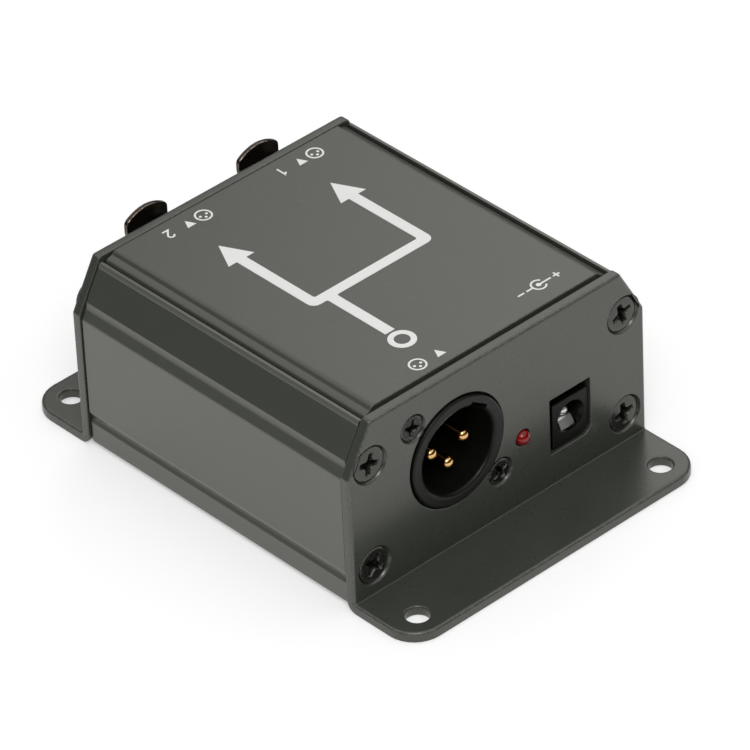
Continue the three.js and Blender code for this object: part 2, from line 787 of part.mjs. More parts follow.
// A coil between the lever's inner arm and the tower's roof
class SpringPath extends THREE.Curve {
  getPoint(share, target = new THREE.Vector3()) {
    const low = latchArmTop + fitGap + springWireRadius;
    const high = towerTop - towerRoof - fitGap - springWireRadius;
    const angle = 2 * Math.PI * springTurns * share;
    return target.set(
      springRadius * Math.cos(angle),
      springCentreDepth + springRadius * Math.sin(angle),
      low + (high - low) * share,
    );
  }
}

function latchSpring() {
  const section = new THREE.Shape(Array.from({ length: wireSides }, (_, i) => {
    const angle = 2 * Math.PI * i / wireSides;
    return new THREE.Vector2(springWireRadius * Math.cos(angle), springWireRadius * Math.sin(angle));
  }));
  return toSolid(new THREE.ExtrudeGeometry(section, {
    steps: springTurns * stepsPerTurn, extrudePath: new SpringPath(), bevelEnabled: false,
  }));
}

// Power jack, in its own frame: the axis of the bore, at the plate's outer face
const jackFoot = boardTop + fitGap - jackAxisHeight;
const jackContactFront = jackRecess + jackContactSetback;
const jackContactBack = jackBack - fitGap;

function jackHousing() {
  const nose = roundedRectangle(
    -jackHalfWidth, jackHalfWidth, jackWindowBottom + fitGap, jackTopAboveAxis,
    [jackWindowRound, jackWindowLargeRound, jackWindowRound, jackWindowRound],
  );
  const slotHalf = jackContactHalf + fitGap;
  return cut(
    extrude(nose, 'y', jackRecess, jackBack)
      .add(box(-jackHalfWidth, jackHalfWidth, seatDepth, jackBack, jackFoot, 0)),
    barY(0, 0, jackRecess - overrun, jackRecess + jackBoreDepth, jackBore, largeSides),
    barY(0, 0, jackRecess, jackBack + overrun, jackPinRadius + fitGap),
    box(-slotHalf, slotHalf, jackContactFront - fitGap, jackBack + overrun,
      jackFoot - overrun, jackContactRise + fitGap - jackContactDrop),
  );
}

function jackPin() {
  const taper = jackPinRadius * jackPinTaperShare;
  const pin = turned([
    [0, jackPinRecess], [taper, jackPinRecess], [jackPinRadius, jackPinRecess + jackPinRadius - taper],
    [jackPinRadius, jackBack], [0, jackBack],
  ], 0, 0);
  const back = jackBack + jackPinTailRun;
  return joined(
    pin,
    barY(0, 0, jackBack - tailRadius, back + tailRadius, tailRadius, leadSides),
    barZ(0, back, tailEnd - jackAxisHeight, tailRadius, tailRadius),
  );
}

// A bent strip whose crest reaches into the bore, with a narrow tail through the board
function jackContact() {
  const [front, back, thickness] = [jackContactFront, jackContactBack, jackContactThickness];
  const crestStart = front + jackContactRun;
  const crestEnd = crestStart + jackContactRun / 2;
  const low = -jackContactDrop;
  const high = low + jackContactRise;
  const end = tailEnd - jackAxisHeight;
  const outline = [
    [front, low - thickness], [crestStart, high - thickness], [crestEnd, high - thickness],
    [crestEnd + jackContactRun, low - thickness], [back - thickness, low - thickness],
    [back - thickness, end], [back, end], [back, low], [crestEnd + jackContactRun, low],
    [crestEnd, high], [crestStart, high], [front, low],
  ];
  const trims = [-1, 1].map((side) => box(
    side * tailRadius, side * (jackContactHalf + overrun),
    back - thickness - fitGap, back + overrun, end - overrun, jackFoot + fitGap,
  ));
  return cut(extrude(outline, 'x', -jackContactHalf, jackContactHalf), ...trims);
}

// Status lamp, in its own frame: its axis, at the plate's outer face
function lampLens() {
  return turned([
    ...domeProfile(lampRadius, -lampProud),
    [lampRadius, lampBack - lampRimThickness], [lampRimRadius, lampBack - lampRimThickness],
    [lampRimRadius, lampBack], [0, lampBack],
  ], 0, 0);
}

function lampLead(x) {
  const run = lampBack + lampLeadRun;
  return joined(
    barY(x, 0, lampBack + fitGap, run + lampLeadRadius, lampLeadRadius, leadSides),
    barZ(x, run, tailEnd - lampHeight, lampLeadRadius, lampLeadRadius),
  );
}

// Components, each in its own frame: its middle, at the board's top face
const leadEnd = -boardThickness - tailDrop;
const leadPair = (spacing) => [-spacing / 2, spacing / 2];

// A flat body with bent legs along both long sides
function chip({ length, width, height, legs }) {
  const { width: legWidth, thickness, foot } = chipLeg;
  const bottom = fitGap + thickness;
  const middle = bottom + height / 2;
  const legProfile = [
    [-thickness, middle], [thickness, middle], [thickness, bottom], [foot + thickness, bottom],
    [foot + thickness, fitGap], [0, fitGap], [0, middle - thickness], [-thickness, middle - thickness],
  ];
  const solids = [box(-length / 2, length / 2, -width / 2, width / 2, bottom, bottom + height)];
  for (const side of [-1, 1]) {
    for (let i = 0; i < legs; i += 1) {
      const x = (i - (legs - 1) / 2) * chipPitch;
      const profile = legProfile.map(([y, z]) => [side * (width / 2 + y), z]);
      solids.push(extrude(profile, 'x', x - legWidth / 2, x + legWidth / 2));
    }
  }
  return joined(...solids);
}

// A round body that lies along X, with its two leads bent down through the board
function axial({ length, radius, leadSpacing }) {
  const centre = fitGap + radius;
  return joined(
    barX(0, centre, -length / 2, length / 2, radius),
    barX(0, centre, -leadSpacing / 2 - leadRadius, leadSpacing / 2 + leadRadius, leadRadius, leadSides),
    ...leadPair(leadSpacing).map((x) => barZ(x, 0, leadEnd, centre + leadRadius, leadRadius)),
  );
}

// A standing can with a pressed-in neck, and two leads
function capacitor() {
  const { radius, height, edge, leadSpacing } = can;
  const profile = [
    [0, fitGap], [radius - edge, fitGap], [radius, fitGap + edge], [radius, fitGap + 2 * edge],
    [radius - edge, fitGap + 3 * edge], [radius, fitGap + 4 * edge],
    [radius, fitGap + height - edge], [radius - edge, fitGap + height], [0, fitGap + height],
  ];
  return joined(
    toSolid(turnedGeometry(profile, smallSides).rotateX(Math.PI / 2)),
    ...leadPair(leadSpacing).map((x) => barZ(x, 0, leadEnd, fitGap + edge, leadRadius)),
  );
}

const regulatorLegs = [-regulator.legSpacing, 0, regulator.legSpacing];

// A standing power part with a drilled tab and three legs
function regulatorSolid() {
  const { width, depth, bodyHeight, tabHeight, tabThickness, holeRadius, holeDrop } = regulator;
  const [half, bottom] = [width / 2, fitGap + regulator.standOff];
  const tabTop = bottom + tabHeight;
  const tab = box(-half, half, depth / 2 - tabThickness, depth / 2, bottom + bodyHeight / 2, tabTop);
  return joined(
    box(-half, half, -depth / 2, depth / 2, bottom, bottom + bodyHeight),
    cut(tab, barY(0, tabTop - holeDrop, 0, depth, holeRadius)),
    ...regulatorLegs.map((x) => barZ(x, 0, leadEnd, bottom + bodyHeight / 2, regulator.legRadius)),
  );
}

// Places are shares of the board's half width and half length.
const components = [
  { name: 'input_receiver_chip', make: () => chip(lineChip), placeShares: [-0.83, -0.15], leads: [] },
  { name: 'isolating_coupler', make: () => chip(couplerChip), placeShares: [-0.43, -0.08], leads: [] },
  { name: 'line_driver_chip_1', make: () => chip(lineChip), placeShares: [0.49, 0.05], leads: [] },
  { name: 'line_driver_chip_2', make: () => chip(lineChip), placeShares: [0.02, 0.02], leads: [] },
  { name: 'voltage_regulator', make: regulatorSolid, placeShares: [0.62, -0.22], leads: regulatorLegs },
  { name: 'capacitor_1', make: capacitor, finish: finishes.sleeve, placeShares: [0.21, -0.26],
    leads: leadPair(can.leadSpacing) },
  { name: 'capacitor_2', make: capacitor, finish: finishes.sleeve, placeShares: [0.83, 0.05],
    leads: leadPair(can.leadSpacing) },
  { name: 'protection_diode', make: () => axial(diode), placeShares: [0.68, -0.46],
    leads: leadPair(diode.leadSpacing) },
  ...[[-0.72, 0.15], [-0.3, 0.15], [0.32, -0.49]].map((placeShares, i) => ({
    name: `resistor_${i + 1}`, make: () => axial(resistor), finish: finishes.ceramic, placeShares,
    leads: leadPair(resistor.leadSpacing),
  })),
].map((entry) => ({
  ...entry, x: entry.placeShares[0] * boardHalf, y: entry.placeShares[1] * boardEnd,
}));

// Every place where a tail or lead goes through the board
function boardHolePlaces() {
  const places = [
    [jackAxis, jackBack + jackPinTailRun - outerFace],
    [jackAxis, jackContactBack - jackContactThickness / 2 - outerFace],
    ...leadPair(lampLeadSpacing).map((x) => [lampAxis + x, lampBack + lampLeadRun - outerFace]),
  ];
  for (const { x, tailRun } of contactPlaces) {
    places.push([inputAxis + x, inputDepth + tailRun - outerFace]);
    for (const centre of [-outputSpacing / 2, outputSpacing / 2]) {
      places.push([centre + x, outerFace - outputDepth - tailRun]);
    }
  }
  for (const { x, y, leads } of components) {
    places.push(...leads.map((lead) => [x + lead, y]));
  }
  return places;
}

function circuitBoard() {
  const holes = boardHolePlaces().map(
    ([x, y]) => barZ(x, y, boardUnderside - overrun, boardTop + overrun, tailRadius + fitGap),
  );
  return cut(box(-boardHalf, boardHalf, -boardEnd, boardEnd, boardUnderside, boardTop), ...holes);
}

// Assembly

function inputConnector() {
  return groupAt(
    inputAxis, 0, axisHeight,
    piece('input_shell', inputShell(), finishes.blackPlastic),
    piece('input_insert', inputInsert(), finishes.socketPlastic),
    ...contactPlaces.map((place, i) => piece(`input_pin_${i + 1}`, inputPin(place), finishes.gold)),
    ...screws('input', connectorScrewPlaces, connectorScrew),
  );
}

function outputConnector(prefix, x) {
  return groupAt(
    x, 0, axisHeight,
    piece(`${prefix}_shell`, outputShell(), finishes.blackPlastic),
    piece(`${prefix}_insert`, outputInsert(), finishes.socketPlastic),
    ...contactPlaces.map(
      (place, i) => piece(`${prefix}_contact_${i + 1}`, contactSleeve(place), finishes.gold),
    ),
    piece(`${prefix}_latch`, latchLever(), finishes.blackChrome),
    piece(`${prefix}_latch_pin`, latchPin(), finishes.nickel),
    piece(`${prefix}_latch_spring`, latchSpring(), finishes.nickel),
    ...screws(prefix, connectorScrewPlaces, connectorScrew),
  );
}

function powerJack() {
  return groupAt(
    jackAxis, 0, jackAxisHeight,
    piece('power_jack_housing', jackHousing(), finishes.blackPlastic),
    piece('power_jack_pin', jackPin(), finishes.nickel),
    piece('power_jack_contact', jackContact(), finishes.nickel),
  );
}

function statusLamp() {
  return groupAt(
    lampAxis, 0, lampHeight,
    piece('status_lamp', lampLens(), finishes.redLens),
    ...leadPair(lampLeadSpacing).map(
      (x, i) => piece(`status_lamp_lead_${i + 1}`, lampLead(x), finishes.nickel),
    ),
  );
}

const frontEnd = groupAt(
  0, -outerFace, 0,
  piece('front_plate', frontPlate(), finishes.paint),
  ...screws('front_plate', plateScrewPlaces, plateScrew),
  inputConnector(),
  powerJack(),
  statusLamp(),
);

const rearEnd = groupAt(
  0, outerFace, 0,
  piece('rear_plate', rearPlate(), finishes.paint),
  ...screws('rear_plate', plateScrewPlaces, plateScrew),
  outputConnector('output_1', -outputSpacing / 2),
  outputConnector('output_2', outputSpacing / 2),
);
rearEnd.rotation.z = Math.PI;

const splitter = groupAt(
  0, 0, 0,
  piece('body_shell', bodyShell(), finishes.paint),
  piece('top_lid', topLid(), finishes.paint),
  piece('circuit_board', circuitBoard(), finishes.board),
  ...components.map(({ name, make, finish, x, y }) => groupAt(
    x, y, boardTop, piece(name, make(), finish ?? finishes.moulding),
  )),
  frontEnd,
  rearEnd,
);

export default splitter;
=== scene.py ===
"""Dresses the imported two-way line splitter: fine surfaces, finishes, a plain studio and the camera.

Sizes in the classes are millimetres, and meshes are written in metres. Places come from the frame.
"""
import json
import logging
import math
from abc import ABC, abstractmethod
from collections.abc import Callable, Iterable, Sequence
from dataclasses import dataclass, field
from enum import Enum

import bmesh
import bpy
import numpy as np
from mathutils import Matrix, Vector
from mathutils.geometry import tessellate_polygon

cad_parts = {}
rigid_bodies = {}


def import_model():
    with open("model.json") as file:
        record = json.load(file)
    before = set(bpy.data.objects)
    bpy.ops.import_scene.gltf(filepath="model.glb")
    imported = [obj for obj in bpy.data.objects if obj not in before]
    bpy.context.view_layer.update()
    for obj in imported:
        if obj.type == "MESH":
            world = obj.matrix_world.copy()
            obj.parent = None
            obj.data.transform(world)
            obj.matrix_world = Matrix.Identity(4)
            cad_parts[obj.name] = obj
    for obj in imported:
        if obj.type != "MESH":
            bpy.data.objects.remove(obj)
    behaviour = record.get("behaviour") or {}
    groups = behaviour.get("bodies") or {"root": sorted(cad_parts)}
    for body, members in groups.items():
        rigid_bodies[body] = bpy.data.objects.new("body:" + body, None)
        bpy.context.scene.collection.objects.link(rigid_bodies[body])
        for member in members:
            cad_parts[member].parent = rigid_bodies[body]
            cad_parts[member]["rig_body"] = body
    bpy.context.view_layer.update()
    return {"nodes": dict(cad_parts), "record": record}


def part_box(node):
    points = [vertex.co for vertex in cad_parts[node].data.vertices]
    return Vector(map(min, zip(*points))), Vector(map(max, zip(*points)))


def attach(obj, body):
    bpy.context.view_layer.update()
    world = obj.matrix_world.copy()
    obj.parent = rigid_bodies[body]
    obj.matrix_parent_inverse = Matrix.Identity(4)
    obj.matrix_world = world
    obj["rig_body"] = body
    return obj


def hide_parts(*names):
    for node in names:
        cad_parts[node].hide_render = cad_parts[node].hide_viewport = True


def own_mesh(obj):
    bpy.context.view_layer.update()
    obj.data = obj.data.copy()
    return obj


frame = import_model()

log = logging.getLogger("splitter")

MM = 0.001
HALF_TURN = math.pi
QUARTER_TURN = math.pi / 2
ROUND_STEPS = 4
CORNER_STEPS = 8
BEND_STEPS = 10
NOSE_STEPS = 8
SIDES = 96
MARK_SIDES = 64
BOSS_SIDES = 48
HOLE_SIDES = 40
SMALL_SIDES = 32
TAIL_SIDES = 16
SHARP_ANGLE = math.radians(38)
BORDER = 0.12
FINE_EDGE = 0.15
SOFT_EDGE = 0.2
OVERLAP = 1.0
TAIL_LAP = 0.2
PRINT_THICKNESS = 0.03
MARK_SINK = 0.04
WHITE = (1.0, 1.0, 1.0, 1.0)
NOISE_ROUGHNESS = 0.55
COAT_ROUGHNESS = 0.08
SMEAR_SHARE = 2.3
WEAR_PATCHES = 2.0
DUST_PATCHES = 0.9

slot_of = {row["node"]: row["material_slot"] for row in frame["record"]["subparts"]}


# Surfaces


def circle(x: float, z: float, radius: float, sides: int = SIDES) -> np.ndarray:
    """Points (x + r cos a, z + r sin a), anticlockwise.

    Args:
        x: Centre across.
        z: Centre up.
        radius: Radius.
        sides: Number of points.

    Returns:
        The outline, (sides, 2).
    """
    return arc(x, z, radius, 0, 2 * HALF_TURN, sides + 1)[:-1]


def arc(x: float, z: float, radius: float, start: float, end: float, count: int) -> np.ndarray:
    """Points (x + r cos a, z + r sin a) with a running evenly from start to end.

    Args:
        x: Centre across.
        z: Centre up.
        radius: Radius.
        start: First angle, in radians.
        end: Last angle, in radians.
        count: Number of points.

    Returns:
        The points, (count, 2).
    """
    angle = np.linspace(start, end, count)
    return np.column_stack([x + radius * np.cos(angle), z + radius * np.sin(angle)])


def unit(vectors: np.ndarray) -> np.ndarray:
    """The same directions with length 1."""
    return vectors / np.maximum(np.linalg.norm(vectors, axis=-1, keepdims=True), 1e-12)


def rounded(corners: Sequence[Sequence[float]], radii: float | Sequence[float],
            steps: int = ROUND_STEPS) -> np.ndarray:
    """A closed outline with each corner replaced by a tangent arc.

    An arc touches both sides at r / tan(half the corner's angle) from the corner, its centre lies on the
    bisector at r / sin(half the angle), and its points turn evenly from one touching point to the other.

    Args:
        corners: The corners in order, (n, 2).
        radii: One radius, or one for each corner. 0 keeps the corner.
        steps: Steps in each arc.

    Returns:
        The outline without doubled points.
    """
    points = np.asarray(corners, float)
    radius = np.broadcast_to(np.asarray(radii, float), len(points))[:, None]
    back = unit(np.roll(points, 1, axis=0) - points)
    ahead = unit(np.roll(points, -1, axis=0) - points)
    half = np.arccos(np.clip(np.sum(back * ahead, axis=1, keepdims=True), -1, 1)) / 2
    reach = radius / np.tan(np.maximum(half, 1e-6))
    centre = points + unit(back + ahead) * radius / np.sin(np.maximum(half, 1e-6))
    first = points + back * reach - centre
    last = points + ahead * reach - centre
    turn = np.maximum(HALF_TURN - 2 * half, 1e-6)[:, None]
    share = np.linspace(0, 1, steps + 1)[None, :, None]
    sweep = (np.sin((1 - share) * turn) * first[:, None] + np.sin(share * turn) * last[:, None]) / np.sin(turn)
    arcs = np.where(radius[:, None] > 0, centre[:, None] + sweep, points[:, None])
    return without_doubles(arcs.reshape(-1, 2))


def without_doubles(outline: np.ndarray) -> np.ndarray:
    """A closed outline without points that repeat the one before."""
    step = np.linalg.norm(outline - np.roll(outline, 1, axis=0), axis=1)
    return outline[step > 1e-5]


def rectangle(left: float, right: float, bottom: float, top: float, radii: float | Sequence[float] = 0.0,
              steps: int = ROUND_STEPS) -> np.ndarray:
    """A rectangle from its lower left corner round, with its corners rounded."""
    return rounded([[left, bottom], [right, bottom], [right, top], [left, top]], radii, steps)


def mirrored(right: np.ndarray) -> np.ndarray:
    """A closed outline from the corners (x, z, radius) of its right half, given from the bottom round."""
    both = np.concatenate([right, (right * [-1, 1, 1])[::-1]])
    return rounded(both[:, :2], both[:, 2])


def turned_about(points: np.ndarray, angle: float) -> np.ndarray:
    """Points (x, z) turned clockwise about the origin: x' = x cos a + z sin a, z' = z cos a - x sin a."""
    cos, sin = math.cos(angle), math.sin(angle)
    return np.asarray(points, float) @ np.array([[cos, -sin], [sin, cos]])


def quarter(steps: int) -> tuple[np.ndarray, np.ndarray, np.ndarray]:
    """With t from 0 to a quarter turn: t, 1 - sin t and 1 - cos t."""
    turn = np.linspace(0, QUARTER_TURN, steps + 1)
    return turn, 1 - np.sin(turn), 1 - np.cos(turn)


def rim(near: float, far: float, thickness: float, steps: int = ROUND_STEPS,
        border: float = BORDER) -> np.ndarray:
    """Rows of (inset, depth, wear) from one face of a sheet to the other, with a quarter round at each edge.

    With t from 0 to a quarter turn, inset = r (1 - sin t) and depth = r (1 - cos t). Wear is sin 2t. A flat
    border lies on each face beside its round, so that the face's own shading stays flat.

    Args:
        near: Radius at depth 0.
        far: Radius at the other face.
        thickness: Depth of the other face.
        steps: Steps in each quarter.
        border: Width of the flat border.

    Returns:
        The rows, (2 steps + 4, 3).
    """
    turn, inset, depth = quarter(steps)
    wear = np.sin(2 * turn)
    first = np.column_stack([near * inset, near * depth, wear])
    last = np.column_stack([far * inset, thickness - far * depth, wear])[::-1]
    return np.concatenate([[[near + border, 0, 0]], first, last, [[far + border, thickness, 0]]])


def layer(start: float, end: float, near: float, far: float) -> np.ndarray:
    """The rows of rim between two depths."""
    return rim(near, far, end - start) + [0, start, 0]


def nosed_bar(start: float, end: float, nose: float, radius: float) -> np.ndarray:
    """Stations of a straight round bar with a rounded tip.

    With t from 0 to a quarter turn, the tip's depth is start + nose (1 - cos t) and its radius r sin t.

    Args:
        start: Depth of the tip.
        end: Depth of the flat end.
        nose: Length of the tip.
        radius: Radius of the bar.

    Returns:
        Rows of (depth, z, radius, heading).
    """
    turn, _, rise = quarter(NOSE_STEPS)
    tip = np.column_stack([start + nose * rise, 0 * turn, radius * np.sin(turn), 0 * turn])
    return np.concatenate([tip, [[end, 0, radius, 0], [end, 0, 0, 0]]])


@dataclass(frozen=True)
class Loop:
    """An outline with material on its left, and the rows (inset, depth, wear) that carry it through a sheet."""

    outline: np.ndarray
    rows: np.ndarray

    def rings(self) -> np.ndarray:
        """The outline at each row: point + inset * mitre, where the mitre of the two sides' left normals
        m and n is (m + n) / (1 + m . n).

        Returns:
            Points (x, z, depth), (rows, points, 3).
        """
        ahead = unit(np.roll(self.outline, -1, axis=0) - self.outline)
        normal = np.column_stack([-ahead[:, 1], ahead[:, 0]])
        before = np.roll(normal, 1, axis=0)
        mitre = (normal + before) / np.maximum(1 + np.sum(normal * before, axis=1, keepdims=True), 0.2)
        flat = self.outline[None] + self.rows[:, None, :1] * mitre[None]
        depth = np.broadcast_to(self.rows[:, None, 1:2], (*flat.shape[:2], 1))
        return np.concatenate([flat, depth], axis=2)


def hole(outline: np.ndarray, rows: np.ndarray) -> Loop:
    """A loop for a hole, from its anticlockwise outline."""
    return Loop(outline[::-1], rows)


Place = Callable[[np.ndarray], np.ndarray]


class Skin:
    """The patches of one closed surface, gathered in millimetres until they become a mesh."""

    def __init__(self) -> None:
        """Starts with no patches."""
        self.points: list[np.ndarray] = []
        self.wear: list[np.ndarray] = []
        self.faces: list[tuple[int, ...]] = []
        self.count = 0

    def _take(self, points: np.ndarray, wear: float | np.ndarray) -> int:
        """Stores points and their wear and painted highlight.

        Args:
            points: An array of points.
            wear: Wear and painted highlight, broadcast over them.

        Returns:
            The first one's number.
        """
        first = self.count
        self.points.append(points.reshape(-1, 3))
        self.wear.append(np.broadcast_to(wear, points.shape[:-1]).reshape(-1))
        self.count += len(self.points[-1])
        return first

    def grid(self, points: np.ndarray, across: bool = True, along: bool = False,
             wear: float | np.ndarray = 0.0) -> None:
        """Adds four-sided faces between neighbouring points of a grid.

        Args:
            points: (rows, columns, 3).
            across: Whether the last column joins the first.
            along: Whether the last row joins the first.
            wear: Wear and painted highlight of each point, broadcast over the grid.
        """
        first = self._take(points, wear)
        index = first + np.arange(points.shape[0] * points.shape[1]).reshape(points.shape[:2])
        if across:
            index = np.concatenate([index, index[:, :1]], axis=1)
        if along:
            index = np.concatenate([index, index[:1]], axis=0)
        quads = np.stack([index[:-1, :-1], index[:-1, 1:], index[1:, 1:], index[1:, :-1]], axis=-1)
        self.faces.extend(map(tuple, quads.reshape(-1, 4).tolist()))

    def fill(self, loops: Sequence[np.ndarray]) -> None:
        """Adds a flat face inside the first loop and outside the others.

        Args:
            loops: The outline, then the holes.
        """
        first = self._take(np.concatenate(loops), 0.0)
        triangles = tessellate_polygon([loop.tolist() for loop in loops])
        self.faces.extend(tuple(first + corner for corner in triangle) for triangle in triangles)

    def band(self, loop: Loop, place: Place) -> np.ndarray:
        """Adds the wall that a loop makes through its sheet.

        Args:
            loop: The loop.
            place: Carries (x, z, depth) to the part's frame.

        Returns:
            Its placed rings.
        """
        rings = place(loop.rings())
        self.grid(rings, wear=loop.rows[:, 2:3])
        return rings

    def tube(self, rings: np.ndarray, wear: float | np.ndarray = 0.0) -> "Skin":
        """Adds rings joined into a tube with flat ends.

        Args:
            rings: The rings, (rings, points, 3).
            wear: Wear and painted highlight, broadcast over them.

        Returns:
            This skin.
        """
        self.grid(rings, wear=wear)
        self.fill([rings[0]])
        self.fill([rings[-1]])
        return self

    def prism(self, loops: Sequence[Loop], place: Place) -> "Skin":
        """Adds a sheet with its holes.

        Args:
            loops: The outline, then the holes.
            place: Carries (x, z, depth) to the part's frame.

        Returns:
            This skin.
        """
        walls = [self.band(loop, place) for loop in loops]
        for row in (0, -1):
            self.fill([rings[row] for rings in walls])
        return self

    def revolve(self, profile: Sequence[Sequence[float]], place: Place, sides: int = SIDES,
                closed: bool = False, wear: float | np.ndarray = 0.0) -> "Skin":
        """Adds a profile turned about the depth axis: (r cos a, r sin a, depth).

        Args:
            profile: Points (r, depth), from axis to axis or round a closed section.
            place: Carries (x, z, depth) to the part's frame.
            sides: Points round the axis.
            closed: Whether the last profile point joins the first.
            wear: Wear and painted highlight of each point of the profile.

        Returns:
            This skin.
        """
        radius, depth = np.asarray(profile, float).T
        ring = circle(0, 0, 1, sides)
        flat = radius[:, None, None] * ring[None]
        deep = np.broadcast_to(depth[:, None, None], (*flat.shape[:2], 1))
        self.grid(place(np.concatenate([flat, deep], axis=2)), along=closed, wear=wear)
        return self

    def sweep(self, stations: np.ndarray, place: Place, sides: int = SMALL_SIDES) -> "Skin":
        """Adds a round bar that bends in the plane of depth and height.

        A ring at heading h and radius r has the points (r cos a, z + r sin a cos h, depth - r sin a sin h).

        Args:
            stations: Rows of (depth, z, radius, heading).
            place: Carries (x, z, depth) to the part's frame.
            sides: Points round the bar.

        Returns:
            This skin.
        """
        depth, height, radius, heading = (column[:, None] for column in stations.T)
        ring = circle(0, 0, 1, sides)
        across, rise = radius * ring[:, 0], radius * ring[:, 1]
        points = np.stack([across, height + rise * np.cos(heading), depth - rise * np.sin(heading)], axis=-1)
        self.grid(place(points))
        return self

    def mesh(self, name: str) -> bpy.types.Mesh:
        """Makes the mesh, with doubled points merged and faces turned outwards.

        Args:
            name: Its name.

        Returns:
            The mesh.
        """
        mesh = bpy.data.meshes.new(name)
        mesh.from_pydata(np.concatenate(self.points) * MM, [], self.faces)
        wear_and_highlight_layer = mesh.attributes.new("wear", "FLOAT", "POINT")
        wear_and_highlight_layer.data.foreach_set("value", np.concatenate(self.wear).astype(np.float32))
        return merged(mesh)


def merged(mesh: bpy.types.Mesh) -> bpy.types.Mesh:
    """Merges doubled points of a mesh and turns its faces outwards.

    Args:
        mesh: The mesh, which is changed.

    Returns:
        The same mesh.
    """
    work = bmesh.new()
    work.from_mesh(mesh)
    bmesh.ops.remove_doubles(work, verts=work.verts, dist=2e-6)
    bmesh.ops.recalc_face_normals(work, faces=work.faces)
    work.to_mesh(mesh)
    work.free()
    return mesh


class Join(Enum):
    """How one solid meets another."""

    ADD = "UNION"
    CUT = "DIFFERENCE"


def combined(base: bpy.types.Mesh, tools: Iterable[tuple[Join, bpy.types.Mesh]]) -> bpy.types.Mesh:
    """Adds solids to a solid and cuts others from it.

    Args:
        base: The first solid.
        tools: The others, each with its way to meet the first.

    Returns:
        The resulting mesh.
    """
    helpers = [bpy.data.objects.new("helper", base)]
    for how, mesh in tools:
        helpers.append(bpy.data.objects.new("helper", mesh))
        modifier = helpers[0].modifiers.new(how.name, "BOOLEAN")
        modifier.operation = how.value
        modifier.solver = "EXACT"
        modifier.object = helpers[-1]
    for helper in helpers:
        bpy.context.scene.collection.objects.link(helper)
    graph = bpy.context.evaluated_depsgraph_get()
    result = bpy.data.meshes.new_from_object(helpers[0].evaluated_get(graph), depsgraph=graph)
    for helper in helpers:
        bpy.data.objects.remove(helper)
    return merged(result)


# Finishes


class Wiring:
    """Adds nodes to a shader tree, with their values and links given together."""

    def __init__(self, tree: bpy.types.NodeTree) -> None:
        """Empties the tree."""
        self.tree = tree
        tree.nodes.clear()

    def add(self, kind: str, values: dict | None = None, **settings: object) -> bpy.types.Node:
        """Adds a node.

        Args:
            kind: The node's type, without its ShaderNode prefix.
            values: What goes into its inputs, by name or number: a value, or a socket to link.
            settings: Its properties.

        Returns:
            The node.
        """
        node = self.tree.nodes.new(kind if kind.startswith("Node") else "ShaderNode" + kind)
        for name, setting in settings.items():
            setattr(node, name, setting)
        for key, value in (values or {}).items():
            if isinstance(value, bpy.types.NodeSocket):
                self.tree.links.new(value, node.inputs[key])
            else:
                node.inputs[key].default_value = value
        return node

    def calc(self, operation: str, *values: object, clamp: bool = False) -> bpy.types.NodeSocket:
        """What a Math node makes of some numbers."""
        return self.add("Math", dict(enumerate(values)), operation=operation, use_clamp=clamp).outputs[0]

    def spread(self, value: bpy.types.NodeSocket, low: float, high: float) -> bpy.types.NodeSocket:
        """Where a number lies between two others, from 0 to 1."""
        return self.add("MapRange", {"Value": value, "From Min": low, "From Max": high}).outputs[0]

    def group(self, tree: bpy.types.NodeTree, **values: object) -> bpy.types.NodeSocket:
        """Places a node group with its own values and returns its output."""
        named = {name.capitalize(): value for name, value in values.items()}
        return self.add("Group", named, node_tree=tree).outputs[0]


class Group(Wiring):
    """A shader node group with number inputs and one number output."""

    def __init__(self, name: str, output: str, **inputs: float) -> None:
        """Starts the group.

        Args:
            name: Its name.
            output: The name of its output.
            inputs: Its inputs with their usual values.
        """
        tree = bpy.data.node_groups.new(name, "ShaderNodeTree")
        for title, usual in inputs.items():
            socket = tree.interface.new_socket(title.capitalize(), in_out="INPUT", socket_type="NodeSocketFloat")
            socket.default_value = usual
        tree.interface.new_socket(output, in_out="OUTPUT", socket_type="NodeSocketFloat")
        super().__init__(tree)
        self.given = self.add("NodeGroupInput").outputs

    def noise(self, detail: float, share: float = 1.0) -> bpy.types.NodeSocket:
        """Noise over the piece's own coordinates, at a share of the group's scale in patches per metre.

        Args:
            detail: How fine it goes.
            share: The share of the scale.

        Returns:
            The noise.
        """
        scale = self.given["Scale"] if share == 1 else self.calc("MULTIPLY", self.given["Scale"], share)
        place = self.add("TexCoord").outputs["Object"]
        values = {"Vector": place, "Scale": scale, "Detail": detail, "Roughness": NOISE_ROUGHNESS}
        return self.add("TexNoise", values).outputs[0]

    def close(self, value: bpy.types.NodeSocket) -> bpy.types.NodeTree:
        """Links the output and returns the group."""
        self.add("NodeGroupOutput", {0: value})
        return self.tree


